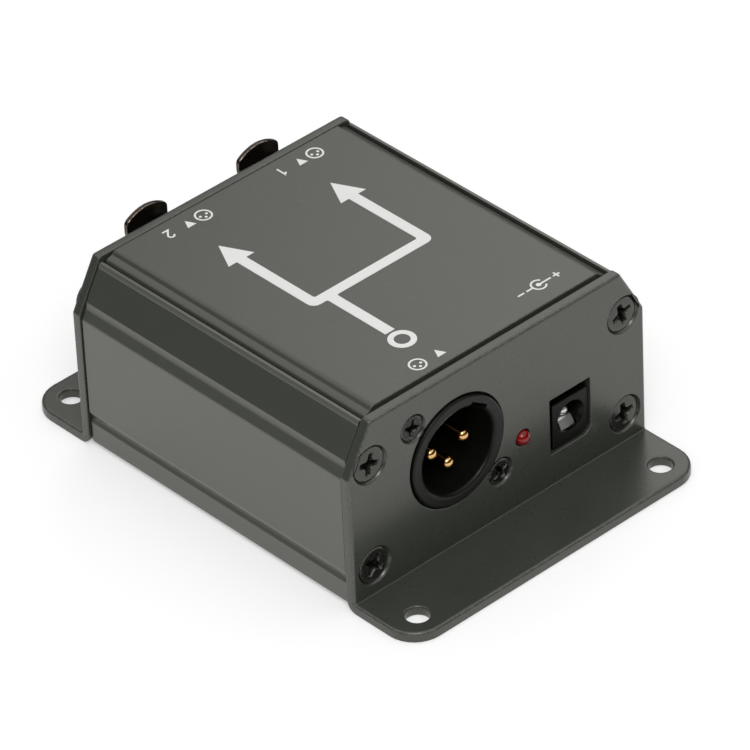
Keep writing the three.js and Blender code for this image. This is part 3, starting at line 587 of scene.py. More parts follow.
class Effects:
    """The effects that the finishes share, each built once."""

    def __init__(self) -> None:
        """Builds the groups."""
        self.cloud, self.grain = self._cloud(), self._grain()
        self.worn_edge, self.dust = self._worn_edge(), self._dust()

    @staticmethod
    def _cloud() -> bpy.types.NodeTree:
        """Soft patches from 0 to 1."""
        group = Group("cloud", "Mask", scale=150.0)
        return group.close(group.spread(group.noise(3.0), 0.3, 0.7))

    @staticmethod
    def _grain() -> bpy.types.NodeTree:
        """The height of a fine powder grain, over a slow orange-peel wave.

        Returns:
            The group.
        """
        group = Group("grain", "Height", scale=4000.0)
        fine, slow = group.noise(2.0), group.noise(1.0, 0.22)
        return group.close(group.calc("MULTIPLY_ADD", slow, 1.6, fine))

    @staticmethod
    def _worn_edge() -> bpy.types.NodeTree:
        """Where a rounded edge is rubbed, and where a highlight is painted: the mesh's wear and painted
        highlight, broken up by noise.

        Returns:
            The group.
        """
        group = Group("worn_edge", "Mask", strength=0.3, scale=500.0)
        edge = group.add("Attribute", attribute_name="wear", attribute_type="GEOMETRY").outputs["Fac"]
        edge_mask = group.calc("MULTIPLY", edge, group.spread(group.noise(4.0), 0.38, 0.66))
        return group.close(group.calc("MULTIPLY", edge_mask, group.given["Strength"], clamp=True))

    @staticmethod
    def _dust() -> bpy.types.NodeTree:
        """Specks that settle on faces that look up.

        Returns:
            The group.
        """
        group = Group("dust", "Mask", strength=0.1, scale=900.0)
        rise = group.add("SeparateXYZ", {0: group.add("NewGeometry").outputs["Normal"]}).outputs["Z"]
        specks = group.spread(group.noise(5.0), 0.62, 0.74)
        lying = group.calc("MULTIPLY", group.spread(rise, 0.4, 0.95), specks)
        return group.close(group.calc("MULTIPLY", lying, group.given["Strength"], clamp=True))


def new_material(name: str) -> tuple[bpy.types.Material, Wiring]:
    """An empty material and its wiring.

    Args:
        name: The material's name.

    Returns:
        The material and the wiring of its nodes.
    """
    material = bpy.data.materials.new(name)
    material.use_nodes = True
    return material, Wiring(material.node_tree)


@dataclass(frozen=True)
class Finish:
    """One material: its colour is linear, and its grain and patches are sized in millimetres."""

    title: str
    colour: tuple[float, float, float]
    roughness: float
    metallic: float = 0.0
    ior: float = 1.5
    coat: float = 0.0
    patch: float = 7.0
    mottle: float = 0.05
    smudge: float = 0.04
    grain: float = 0.25
    grain_depth: float = 0.004
    dust: float = 0.0
    wear: float = 0.0
    specular: float = 0.5
    sheen: tuple[float, float, float] = (1.0, 1.0, 1.0)
    wear_and_highlight_colour: tuple[float, float, float] = (0.2, 0.2, 0.19)
    dust_colour: tuple[float, float, float] = (0.35, 0.33, 0.3)

    def material(self, effects: Effects) -> bpy.types.Material:
        """Builds the material.

        Args:
            effects: The shared node groups.

        Returns:
            The material.
        """
        material, wiring = new_material(self.title)
        cloud = wiring.group(effects.cloud, scale=1 / (self.patch * MM))
        smears = wiring.group(effects.cloud, scale=SMEAR_SHARE / (self.patch * MM))
        edge_mask = wiring.group(effects.worn_edge, strength=self.wear, scale=WEAR_PATCHES / MM)
        specks = wiring.group(effects.dust, strength=self.dust, scale=DUST_PATCHES / MM)
        grain = wiring.group(effects.grain, scale=1 / (self.grain * MM))
        dark, light = ([share * level for level in self.colour] for share in (1 - self.mottle, 1 + self.mottle))
        base: object = (*dark, 1.0)
        # The edge mask mixes in the wear colour: real edge wear, and on the collars a painted highlight.
        for mask, colour in ((cloud, light), (edge_mask, self.wear_and_highlight_colour), (specks, self.dust_colour)):
            base = wiring.add("Mix", {0: mask, 6: base, 7: (*colour, 1.0)}, data_type="RGBA").outputs[2]
        gloss = wiring.add("MapRange", {
            "Value": smears, "To Min": self.roughness - self.smudge, "To Max": self.roughness + self.smudge,
        })
        bump = wiring.add("Bump", {"Height": grain, "Strength": 1.0, "Distance": self.grain_depth * MM})
        shader = wiring.add("BsdfPrincipled", {
            "Base Color": base, "Metallic": self.metallic, "Roughness": gloss.outputs[0], "IOR": self.ior,
            "Coat Weight": self.coat, "Coat Roughness": COAT_ROUGHNESS, "Specular IOR Level": self.specular,
            "Specular Tint": (*self.sheen, 1.0), "Normal": bump.outputs[0],
        })
        wiring.add("OutputMaterial", {"Surface": shader.outputs[0]})
        return material


POWDER = {"grain": 0.22, "wear": 0.25, "wear_and_highlight_colour": (0.3, 0.31, 0.28)}


class Look(Enum):
    """The finishes on this splitter."""

    PAINT = Finish("case_paint", (0.051, 0.057, 0.047), 0.28, ior=1.63, grain_depth=0.002, mottle=0.03,
                   smudge=0.012, dust=0.05, sheen=(1.0, 0.97, 0.89), **POWDER)
    BODY_PAINT = Finish("body_paint", (0.055, 0.061, 0.05), 0.29, ior=1.81, grain_depth=0.0035, mottle=0.03,
                        smudge=0.012, dust=0.05, sheen=(1.0, 0.97, 0.89), **POWDER)
    LID_PAINT = Finish("lid_paint", (0.055, 0.059, 0.049), 0.3, ior=1.66, grain_depth=0.0035, mottle=0.02,
                       smudge=0.006, dust=0.06, sheen=(1.0, 0.98, 0.9), **POWDER)
    PRINT = Finish("white_print", (0.92, 0.92, 0.9), 0.5, mottle=0.01, smudge=0.01, grain=0.4, grain_depth=0.002)
    BLACK_SCREW = Finish("black_screw", (0.01, 0.011, 0.009), 0.2, ior=1.62, smudge=0.06, wear=0.35,
                         wear_and_highlight_colour=(0.25, 0.25, 0.23), grain=0.45, grain_depth=0.01, sheen=(0.95, 0.97, 0.85))
    CONNECTOR_SCREW = Finish("connector_screw", (0.006, 0.006, 0.005), 0.12, specular=0.3, smudge=0.05, wear=0.5,
                             wear_and_highlight_colour=(0.4, 0.4, 0.37), grain=0.4, grain_depth=0.05)
    # On the collars, this wear colour also paints a light highlight on each mouth's inner round.
    SHELL_PLASTIC = Finish("shell_plastic", (0.0055, 0.006, 0.0045), 0.38, specular=0.24, grain=0.3, wear=0.3,
                           wear_and_highlight_colour=(0.4, 0.38, 0.35))
    SOCKET_PLASTIC = Finish("socket_plastic", (0.006, 0.006, 0.006), 0.45, specular=0.3, grain=0.3)
    JACK_PLASTIC = Finish("jack_plastic", (0.004, 0.004, 0.003), 0.33, specular=0.2, grain=0.3, wear=0.05,
                          wear_and_highlight_colour=(0.25, 0.25, 0.22))
    GOLD = Finish("gold_plate", (0.78, 0.46, 0.19), 0.16, metallic=1.0, mottle=0.06, patch=1.5, grain=0.4,
                  grain_depth=0.002)
    BLACK_CHROME = Finish("black_chrome", (0.065, 0.052, 0.043), 0.2, metallic=0.9, wear=0.9,
                          wear_and_highlight_colour=(0.6, 0.48, 0.43), grain=0.6, grain_depth=0.001)
    NICKEL = Finish("nickel", (0.82, 0.81, 0.78), 0.34, metallic=1.0, mottle=0.04, grain=0.5, grain_depth=0.001)
    LENS = Finish("red_lens", (0.24, 0.003, 0.002), 0.06, smudge=0.01, mottle=0.25, patch=1.2, grain=1.5,
                  grain_depth=0.001)
    BOARD = Finish("circuit_board", (0.02, 0.085, 0.035), 0.35, coat=0.4, mottle=0.12, patch=3.0, dust=0.1)
    MOULDING = Finish("moulded_package", (0.018, 0.018, 0.019), 0.55, grain=0.15, grain_depth=0.008, mottle=0.1)
    SLEEVE = Finish("capacitor_sleeve", (0.018, 0.03, 0.09), 0.25, coat=0.4, mottle=0.04)
    CERAMIC = Finish("resistor_body", (0.46, 0.32, 0.17), 0.4, coat=0.3, mottle=0.08, patch=2.0)


class Paintbox:
    """Makes each finish's material the first time that it is asked for."""

    def __init__(self) -> None:
        """Builds the shared effects."""
        self.effects = Effects()
        self.made: dict[Look, bpy.types.Material] = {}

    def __getitem__(self, look: Look) -> bpy.types.Material:
        """The material of a finish.

        Args:
            look: The finish.

        Returns:
            The material, made when it is first asked for.
        """
        if look not in self.made:
            self.made[look] = look.value.material(self.effects)
        return self.made[look]


# The frame


def low_high(node: str) -> tuple[np.ndarray, np.ndarray]:
    """A node's lowest and highest corners, in millimetres."""
    low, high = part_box(node)
    return np.array(low) / MM, np.array(high) / MM


def middle(node: str) -> np.ndarray:
    """The middle of a node's box, in millimetres."""
    return sum(low_high(node)) / 2


PLATE_THICKNESS = 2.0
plate_low, plate_high = low_high("front_plate")
OUTER_FACE = PLATE_THICKNESS - plate_high[1]


def added(name: str, data: bpy.types.ID) -> bpy.types.Object:
    """A new object in the scene.

    Args:
        name: The object's name.
        data: What the object holds.

    Returns:
        The object.
    """
    thing = bpy.data.objects.new(name, data)
    bpy.context.scene.collection.objects.link(thing)
    return thing


def aim(thing: bpy.types.Object, right: np.ndarray, up: np.ndarray, back: np.ndarray, place: np.ndarray) -> None:
    """Sets the axes and the place of an object, in metres.

    Args:
        thing: The object.
        right: Its x axis.
        up: Its y axis.
        back: Its z axis.
        place: Its origin.
    """
    pose = np.eye(4)
    pose[:3] = np.column_stack([right, up, back, place])
    thing.matrix_world = Matrix(pose.tolist())


class End(Enum):
    """The two ends of the case, by the sign that turns a front place into one there."""

    FRONT = 1
    REAR = -1


@dataclass(frozen=True)
class Seat:
    """A place on an end plate: x and z of an axis seen from outside, with depth 0 at the outer face."""

    end: End
    x: float = 0.0
    z: float = 0.0

    @classmethod
    def of(cls, node: str, end: End) -> "Seat":
        """The seat at the middle of a node that lies on its axis."""
        centre = middle(node)
        return cls(end, end.value * centre[0], centre[2])

    def place(self, points: np.ndarray) -> np.ndarray:
        """Carries (x, z, depth) about this axis to the part's frame.

        Args:
            points: Points (x, z, depth).

        Returns:
            Points in the part's frame.
        """
        across = self.end.value * (points[..., 0] + self.x)
        along = self.end.value * (points[..., 2] - OUTER_FACE)
        return np.stack([across, along, points[..., 1] + self.z], axis=-1)

    def shifted(self, x: float, z: float) -> "Seat":
        """An axis beside this one."""
        return Seat(self.end, self.x + x, self.z + z)

    def block(self, outline: np.ndarray, start: float, end: float, edge: float = 0.0) -> bpy.types.Mesh:
        """A prism about the axis between two depths, with its edges rounded."""
        rows = layer(start, end, edge, edge) if edge else np.array([[0, start, 0], [0, end, 0.0]])
        return self.prism([Loop(outline, rows)], "block")

    def prism(self, loops: Sequence[Loop], name: str) -> bpy.types.Mesh:
        """The mesh of a sheet about the axis."""
        return Skin().prism(loops, self.place).mesh(name)

    def tail(self, start: float, back: float, radius: float = 0.5, bend: float = 0.9) -> np.ndarray:
        """Stations of a solder tail that leaves the axis and turns down through the board.

        Args:
            start: Depth where it leaves the contact.
            back: Depth of its lower stretch.
            radius: Its radius.
            bend: Radius of its bend.

        Returns:
            Rows of (depth, z, radius, heading).
        """
        turn = np.linspace(0, -QUARTER_TURN, NOSE_STEPS + 1)
        curve = np.column_stack([
            back - bend - bend * np.sin(turn), bend * (np.cos(turn) - 1), np.full(len(turn), radius), turn,
        ])
        start, end = start - TAIL_LAP, low_high("input_pin_1")[0][2] - self.z
        down = [[back, end + 0.3, radius], [back, end, 0.2], [back, end, 0]]
        return np.concatenate([
            [[start, 0, 0, 0], [start, 0, radius, 0]], curve, [[*row, -QUARTER_TURN] for row in down],
        ])


class Bench:
    """Where finished pieces are put on the frame."""

    def __init__(self) -> None:
        """Prepares the finishes."""
        self.paints = Paintbox()
        self.pieces = 0

    def fit(self, mesh: bpy.types.Mesh, look: Look, node: str) -> bpy.types.Object:
        """Puts a fine piece in the place of a node.

        Args:
            mesh: Its mesh, in the part's frame.
            look: Its finish.
            node: The node that it stands for.

        Returns:
            The piece.
        """
        piece = self._piece(mesh, look, "fine_" + node)
        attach(piece, frame["nodes"][node]["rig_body"])
        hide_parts(node)
        slot_of[node]
        log.info("%s stands for %s, %d faces, %s", piece.name, node, len(mesh.polygons), look.name.lower())
        return piece

    def lay(self, mesh: bpy.types.Mesh, look: Look, name: str, body: str = "case") -> bpy.types.Object:
        """Adds a piece that no node stands for.

        Args:
            mesh: Its mesh, in the part's frame.
            look: Its finish.
            name: Its name.
            body: The body that it rides on.

        Returns:
            The piece.
        """
        piece = self._piece(mesh, look, name)
        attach(piece, body)
        log.info("%s added, %d faces, %s", name, len(mesh.polygons), look.name.lower())
        return piece

    def paint(self, node: str, look: Look) -> None:
        """Gives a node its finish.

        Args:
            node: The node.
            look: The finish.
        """
        materials = frame["nodes"][node].data.materials
        materials.clear()
        materials.append(self.paints[look])
        log.info("%s kept from the frame, %s", node, look.name.lower())

    def _piece(self, mesh: bpy.types.Mesh, look: Look, name: str) -> bpy.types.Object:
        """An object with smooth faces, crisp creases and flat faces that stay flat.

        Args:
            mesh: Its mesh.
            look: Its finish.
            name: Its name.

        Returns:
            The piece.
        """
        mesh.name = name
        mesh.materials.clear()
        mesh.materials.append(self.paints[look])
        mesh.shade_smooth()
        mesh.set_sharp_from_angle(angle=SHARP_ANGLE)
        piece = added(name, mesh)
        shading = piece.modifiers.new("even_shading", "WEIGHTED_NORMAL")
        shading.keep_sharp = True
        shading.weight = 90
        self.pieces += 1
        return piece


# Fasteners


@dataclass(frozen=True)
class Screw:
    """A countersunk screw with a cross recess, drawn from its head's outer face inward."""

    head_radius: float
    shank_radius: float
    head_depth: float
    sink: float
    length: float
    cross_reach: float
    cross_half: float
    cross_depth: float
    mouth_gap: float = 0.42
    mouth_depth: float = 0.4
    shaft_gap: float = 0.3
    crown: float = 0.07
    tip: float = 0.4
    edge: float = 0.1
    land: float = 0.2

    def opening(self, x: float, z: float) -> Loop:
        """The countersunk hole at a place in a plate.

        Args:
            x: Place across.
            z: Place up.

        Returns:
            The hole's loop.
        """
        shaft, edge = self.shank_radius + self.shaft_gap, self.edge
        wide = self.head_radius + self.mouth_gap - shaft
        rows = [
            [wide + edge + BORDER, 0, 0], [wide + edge, 0, 0], [wide + edge * 0.3, edge * 0.3, 1],
            [wide, edge, 0], [wide - edge, self.mouth_depth, 0], [0, PLATE_THICKNESS - self.land, 0],
            [0, PLATE_THICKNESS - edge, 0], [edge, PLATE_THICKNESS, 0], [edge + BORDER, PLATE_THICKNESS, 0],
        ]
        return hole(circle(x, z, shaft), np.array(rows))

    def cross(self) -> np.ndarray:
        """The recess's outline: four tapered arms with rounded ends and a broad middle.

        Returns:
            The outline, (points, 2).
        """
        reach, half = self.cross_reach, self.cross_half
        arm = np.array([[0.75 * half, -reach], [half, -half], [reach, -0.75 * half]])
        corners = np.concatenate([turned_about(arm, -turn * QUARTER_TURN) for turn in range(4)])
        return rounded(without_doubles(corners), np.tile([0.35 * half, 0.9 * half, 0.35 * half], 4), 4)

    def mesh(self, seat: Seat, turn: float = 0.0, lean: tuple[float, float] = (0.0, 0.0)) -> bpy.types.Mesh:
        """Builds the screw.

        Args:
            seat: Its axis.
            turn: How far the recess is turned.
            lean: How far it leans across and up, as the rise over the run.

        Returns:
            The mesh.
        """
        top, outer = self.sink, self.head_radius
        flat = 0.78 * outer
        bottom = top + self.head_depth
        profile = [
            [flat, top], [0.9 * outer, top + 0.35 * self.crown], [0.97 * outer, top + self.crown],
            [outer, top + 2 * self.crown], [self.shank_radius, bottom],
            [self.shank_radius, self.length - self.tip], [self.shank_radius - self.tip, self.length],
            [0, self.length],
        ]
        half = self.cross_half
        recess = Loop(turned_about(self.cross(), turn)[::-1], np.array([
            [0.22 * half, top, 0], [0.12 * half, top, 0.5], [0, top + 0.12 * half, 1],
            [-0.2 * half, top + 0.5 * self.cross_depth, 0], [-0.6 * half, top + self.cross_depth, 0],
        ]))

        def place(points: np.ndarray) -> np.ndarray:
            """Leans the screw about its head: depth + x * lean across + z * lean up.

            Args:
                points: Points (x, z, depth).

            Returns:
                Points in the part's frame.
            """
            leaning = points.copy()
            leaning[..., 2] += points[..., 0] * lean[0] + points[..., 1] * lean[1]
            leaning[..., 0] -= (points[..., 2] - top) * lean[0]
            leaning[..., 1] -= (points[..., 2] - top) * lean[1]
            return seat.place(leaning)

        skin = Skin()
        skin.revolve(profile, place, wear=np.array([0, 0.3, 1, 0.4, 0, 0, 0, 0])[:, None])
        rings = skin.band(recess, place)
        face = np.column_stack([circle(0, 0, flat), np.full(SIDES, top)])
        skin.fill([place(face), rings[0]])
        skin.fill([rings[-1]])
        return skin.mesh("screw")


PLATE_SCREW = Screw(3.35, 1.6, 1.65, 0.26, 12.0, 2.2, 0.66, 1.8)
CONNECTOR_SCREW = Screw(2.45, 1.25, 1.2, 0.22, 9.0, 1.75, 0.52, 1.2, mouth_gap=0.36, mouth_depth=0.35)


# The case


@dataclass
class EndPlate:
    """A sheet folded outward at the bottom into a flange, drawn flat and then bent.

    Flat places are (x, run), where the run is the height down to the bend and then follows the sheet's middle.
    """

    end: End
    chamfer_width: float = 5.5
    chamfer_height: float = 9.8
    bend_radius: float = 0.18
    bend_border: float = 0.3
    crease_line: float = 3.0
    crease_width: float = 0.16
    corner_radius: float = 6.0
    top_corner_radius: float = 0.9
    edge_round: float = 0.55
    inner_round: float = 0.2
    hole_radius: float = 2.2
    hole_side_margin: float = 5.8
    hole_tip_margin: float = 5.2
    hole_round: float = 0.3
    half_width: float = plate_high[0]
    height: float = plate_high[2]
    reach: float = -plate_low[1] - OUTER_FACE
    openings: list[Loop] = field(default_factory=list)

    def __post_init__(self) -> None:
        """Works out where the bend starts and ends on the flat sheet."""
        self.wall_line = self.bend_radius + PLATE_THICKNESS
        self.fold_radius = self.bend_radius + PLATE_THICKNESS / 2
        self.flange_line = self.wall_line - QUARTER_TURN * self.fold_radius
        self.tip_line = self.flange_line - (self.reach - self.bend_radius)

    def bend_runs(self) -> np.ndarray:
        """The runs of the bend's stations, with a flat border on each side of it.

        Returns:
            The runs, from the flange to the wall.
        """
        inside = np.linspace(self.flange_line, self.wall_line, BEND_STEPS + 1)
        border = self.bend_border
        return np.concatenate([[self.flange_line - border], inside, [self.wall_line + border]])

    def outline(self) -> np.ndarray:
        """The flat sheet's outline, from the right end of the bend round.

        Returns:
            The outline, (points, 2).
        """
        half, shoulder = self.half_width, self.height - self.chamfer_height
        bend = self.bend_runs()
        right = np.column_stack([np.full_like(bend, half), bend])
        top = [
            [half, shoulder], [half - self.chamfer_width, self.height],
            [self.chamfer_width - half, self.height], [-half, shoulder],
        ]
        tip = [[-half, self.tip_line], [half, self.tip_line]]
        straight = [0.0] * len(bend)
        radii = straight + [self.top_corner_radius] * 4 + straight + [self.corner_radius] * 2
        corners = np.concatenate([right, top, (right * [-1, 1])[::-1], tip])
        return rounded(corners, radii, CORNER_STEPS)

    def bent(self, flat: np.ndarray) -> np.ndarray:
        """Bends the flat sheet.

        Above the bend (x, run, depth) stays. In it, the turn is (bend start - run) / middle radius, and a
        point lies at inner radius + depth from the bend's centre. Past it, the run goes outward.

        Args:
            flat: Points (x, run, depth).

        Returns:
            Points (x, z, depth) in the end's frame.
        """
        across, run, depth = np.moveaxis(flat, -1, 0)
        turn = np.clip((self.wall_line - run) / self.fold_radius, 0, QUARTER_TURN)
        radius = self.bend_radius + depth
        past = np.maximum(self.flange_line - run, 0)
        height = self.wall_line - radius * np.sin(turn) + np.maximum(run - self.wall_line, 0)
        inward = radius * np.cos(turn) - self.bend_radius - past
        return np.stack([across, height, inward], axis=-1)

    def flange_holes(self) -> list[Loop]:
        """The two mounting holes, as flat places.

        Returns:
            The holes' loops.
        """
        run = self.tip_line + self.hole_tip_margin
        across = self.half_width - self.hole_side_margin
        rows = rim(self.hole_round, self.hole_round, PLATE_THICKNESS)
        return [hole(circle(side * across, run, self.hole_radius), rows) for side in (-1, 1)]

    def mesh(self) -> bpy.types.Mesh:
        """Builds the plate: the rim, each hole, and both faces in three stretches.

        Returns:
            The mesh.
        """
        seat = Seat(self.end)
        place = lambda flat: seat.place(self.bent(flat))
        skin = Skin()
        edge = Loop(self.outline(), rim(self.edge_round, self.inner_round, PLATE_THICKNESS))
        rings = skin.band(edge, place)
        upper = [skin.band(loop, place) for loop in self.openings]
        lower = [skin.band(loop, place) for loop in self.flange_holes()]
        runs = self.bend_runs()
        bend, top = len(runs), 4 * (CORNER_STEPS + 1)
        # The middle of the bend on the outer face is marked lighter, in a thin line broken up by noise.
        crease = np.exp(-((runs - (self.flange_line + self.wall_line) / 2) / self.crease_width) ** 2)
        for row in (0, -1):
            ring = rings[row]
            right, left = ring[:bend], ring[bend + top:2 * bend + top]
            skin.grid(np.stack([right, left[::-1]], axis=1), across=False,
                      wear=self.crease_line * (1 + row) * crease[:, None])
            skin.fill([ring[bend - 1:bend + top + 1], *(wall[row] for wall in upper)])
            flange = np.concatenate([ring[2 * bend + top - 1:], ring[:1]])
            skin.fill([flange, *(wall[row] for wall in lower)])
        return skin.mesh("end_plate")


@dataclass
class Body:
    """The extruded tray: two walls with shoulders, a floor, four screw bosses and two board rails."""

    screw_places: list[tuple[float, float]]
    wall: float = 1.8
    floor: float = 1.6
    skirt: float = 5.0
    skirt_inset: float = 0.25
    slope_run: float = 5.5 / 9.8
    slope_inset: float = 0.172
    joggle_inset: float = 0.44
    joggle_rise: float = 2.2
    fold_drop: float = 0.25
    fold_round: float = 1.3
    foot_round: float = 3.2
    joggle_round: float = 0.45
    line_drop: float = 0.9
    line_inset: float = 0.1
    line_lead: float = 0.3
    strip_width: float = 0.65
    strip_round: float = 0.2
    groove_rise: float = 1.7
    groove_depth: float = 0.65
    groove_fall: float = 0.65
    groove_foot: float = 0.15
    lip: float = 0.8
    slot_height: float = 1.1
    slot_depth: float = 0.6
    ledge: float = 1.1
    ledge_reach: float = 2.65
    boss_radius: float = 3.1
    boss_hole: float = 1.9
    rail_inner: float = 24.1
    rail_outer: float = 25.3
    rail_top: float = 5.3
    end_round: float = 0.15

    def __post_init__(self) -> None:
        """Reads the body's box, and the line that its shoulders lie on."""
        self.low, self.high = low_high("body_shell")
        self.half, self.bottom, self.top = self.high[0], self.low[2], self.high[2]
        self.shoulder = plate_high[2] - EndPlate.chamfer_height

    def slope(self, z: float | np.ndarray) -> float | np.ndarray:
        """The shoulder's x at a height."""
        return plate_high[0] - self.slope_inset - (z - self.shoulder) * self.slope_run

    def section(self) -> np.ndarray:
        """The outline of the extrusion, anticlockwise from the bottom right.

        Returns:
            Points (x, z).
        """
        groove = self.bottom + self.skirt
        wall_run = self.wall * math.hypot(1, self.slope_run)
        fold = self.shoulder + (self.half - self.slope(self.shoulder) + self.joggle_inset) / -self.slope_run
        step = fold + self.joggle_rise
        step_x = self.slope(step) - self.joggle_inset
        line = self.top - self.line_drop
        strip_outer = self.slope(self.top - self.strip_round)
        strip_inner = strip_outer - self.strip_width
        lip_bottom = self.top - self.lip
        ledge_top = lip_bottom - self.slot_height
        inner_top = self.slope(ledge_top - self.ledge) - wall_run
        inner_wall = self.half - self.wall
        inner_fold = self.shoulder - (inner_wall - self.slope(self.shoulder) + wall_run) / self.slope_run
        line_x = self.slope(line) - self.line_inset
        slot_x, tongue_x = strip_inner + self.slot_depth, strip_inner - self.ledge_reach
        outside = np.array([
            (self.half - self.skirt_inset, self.bottom, 0.5),
            (self.half - self.skirt_inset, groove - self.groove_fall, 0.3),
            (self.half - self.groove_depth, groove + self.groove_foot, 0.2),
            (self.half, groove + self.groove_rise, 2.0),
            (self.half, fold - self.fold_drop, self.fold_round),
            (step_x, step, self.foot_round),
            (step_x, step + self.joggle_inset / self.slope_run, self.joggle_round),
            (self.slope(line - self.line_lead), line - self.line_lead, 0.2),
            (line_x, line, 0.05),
            (line_x, line + self.line_inset / self.slope_run, 0.05),
            (strip_outer, self.top, self.strip_round),
            (strip_inner, self.top, 0.1),
            (strip_inner, lip_bottom, 0),
            (slot_x, lip_bottom, 0),
            (slot_x, ledge_top, 0),
            (tongue_x, ledge_top, 0),
            (tongue_x, ledge_top - self.ledge, 0),
            (inner_top, ledge_top - self.ledge, 0),
        ])
        tilt = math.atan(self.slope_run)
        high_x, high_z = np.abs(max(self.screw_places, key=lambda place: place[1]))
        low_x, low_z = np.abs(min(self.screw_places, key=lambda place: place[1]))
        upper = self._boss(high_x, high_z, tilt, (self.slope(high_z) - wall_run - high_x) * math.cos(tilt))
        lower = self._boss(low_x, low_z, 0, inner_wall - low_x)
        floor_top = self.bottom + self.floor
        inside = np.array([
            (inner_wall, floor_top, 0.4), (self.rail_outer, floor_top, 0), (self.rail_outer, self.rail_top, 0.1),
            (self.rail_inner, self.rail_top, 0.1), (self.rail_inner, floor_top, 0),
        ])
        return mirrored(np.concatenate([outside, upper, [(inner_wall, inner_fold, 0)], lower, inside]))

    def _boss(self, x: float, z: float, tilt: float, gap: float) -> np.ndarray:
        """A screw boss round to where it meets a wall at a distance, as corners (x, z, 0).

        Args:
            x: Place across.
            z: Place up.
            tilt: The wall's tilt.
            gap: Distance from the axis to the wall.

        Returns:
            The corners.
        """
        spread = math.acos(gap / self.boss_radius)
        points = arc(x, z, self.boss_radius, tilt + spread, tilt - spread + 2 * HALF_TURN, BOSS_SIDES)
        return np.column_stack([points, np.zeros(BOSS_SIDES)])

    def mesh(self) -> bpy.types.Mesh:
        """Carries the section along the case.

        Returns:
            The mesh.
        """
        length = self.high[1] - self.low[1]
        rows = rim(self.end_round, self.end_round, length, 2)
        place = lambda points: np.stack([points[..., 0], points[..., 2] + self.low[1], points[..., 1]], axis=-1)
        bores = [hole(circle(x, z, self.boss_hole, SMALL_SIDES), rim(0.1, 0.1, length, 1))
                 for x, z in self.screw_places]
        return Skin().prism([Loop(self.section(), rows), *bores], place).mesh("body")


@dataclass
class Lid:
    """The top panel: a raised flat between two shelves, with a leg and a tongue under each strip."""

    thickness: float = 1.5
    foot: float = 28.66
    shelf_width: float = 1.5
    shelf_drop: float = 0.8
    shelf_fall: float = 0.5
    bevel_width: float = 0.75
    flat_round: float = 1.1
    shelf_round: float = 1.0
    foot_round: float = 0.4
    leg: float = 1.35
    leg_bevel: float = 0.7
    tongue_height: float = 0.5
    end_round: float = 0.24

    def __post_init__(self) -> None:
        """Reads the lid's box."""
        self.low, self.high = low_high("top_lid")
        self.top = self.high[2] - MARK_SINK

    def section(self) -> np.ndarray:
        """The outline of the lid, anticlockwise from the right leg's inner side.

        Returns:
            Points (x, z).
        """
        under, bottom = self.high[2] - self.thickness, self.low[2]
        shelf = self.top - self.shelf_drop
        inner = self.foot - self.leg
        flat = self.foot - self.shelf_width - self.bevel_width
        return mirrored(np.array([
            (inner - self.thickness, under, 0.4), (inner, under - self.leg_bevel, 0.3), (inner, bottom, 0),
            (self.high[0], bottom, 0.1), (self.high[0], bottom + self.tongue_height, 0.1),
            (self.foot, bottom + self.tongue_height, 0.1), (self.foot, shelf - self.shelf_fall, self.shelf_round),
            (self.foot - self.shelf_width, shelf, self.foot_round), (flat, self.top, self.flat_round),
        ]))

    def mesh(self) -> bpy.types.Mesh:
        """Carries the section along the case.

        Each end is rounded over: with t from 0 to a quarter turn, a station lies r (1 - cos t) in from the end
        and is cut off at a height r (1 - sin t) under the top.

        Returns:
            The mesh.
        """
        section = self.section()
        turn, drop, inward = quarter(ROUND_STEPS)
        start, end = self.low[1], self.high[1]
        along = np.concatenate([start + self.end_round * inward, (end - self.end_round * inward)[::-1]])[:, None]
        both = lambda values: np.concatenate([values, values[::-1]])[:, None]
        cap, wear = both(self.top - self.end_round * drop), both(np.sin(2 * turn))
        x = np.broadcast_to(section[:, 0], (len(along), len(section)))
        points = np.stack([x, np.broadcast_to(along, x.shape), np.minimum(section[:, 1], cap)], axis=-1)
        return Skin().tube(points, wear).mesh("lid")


# Connectors


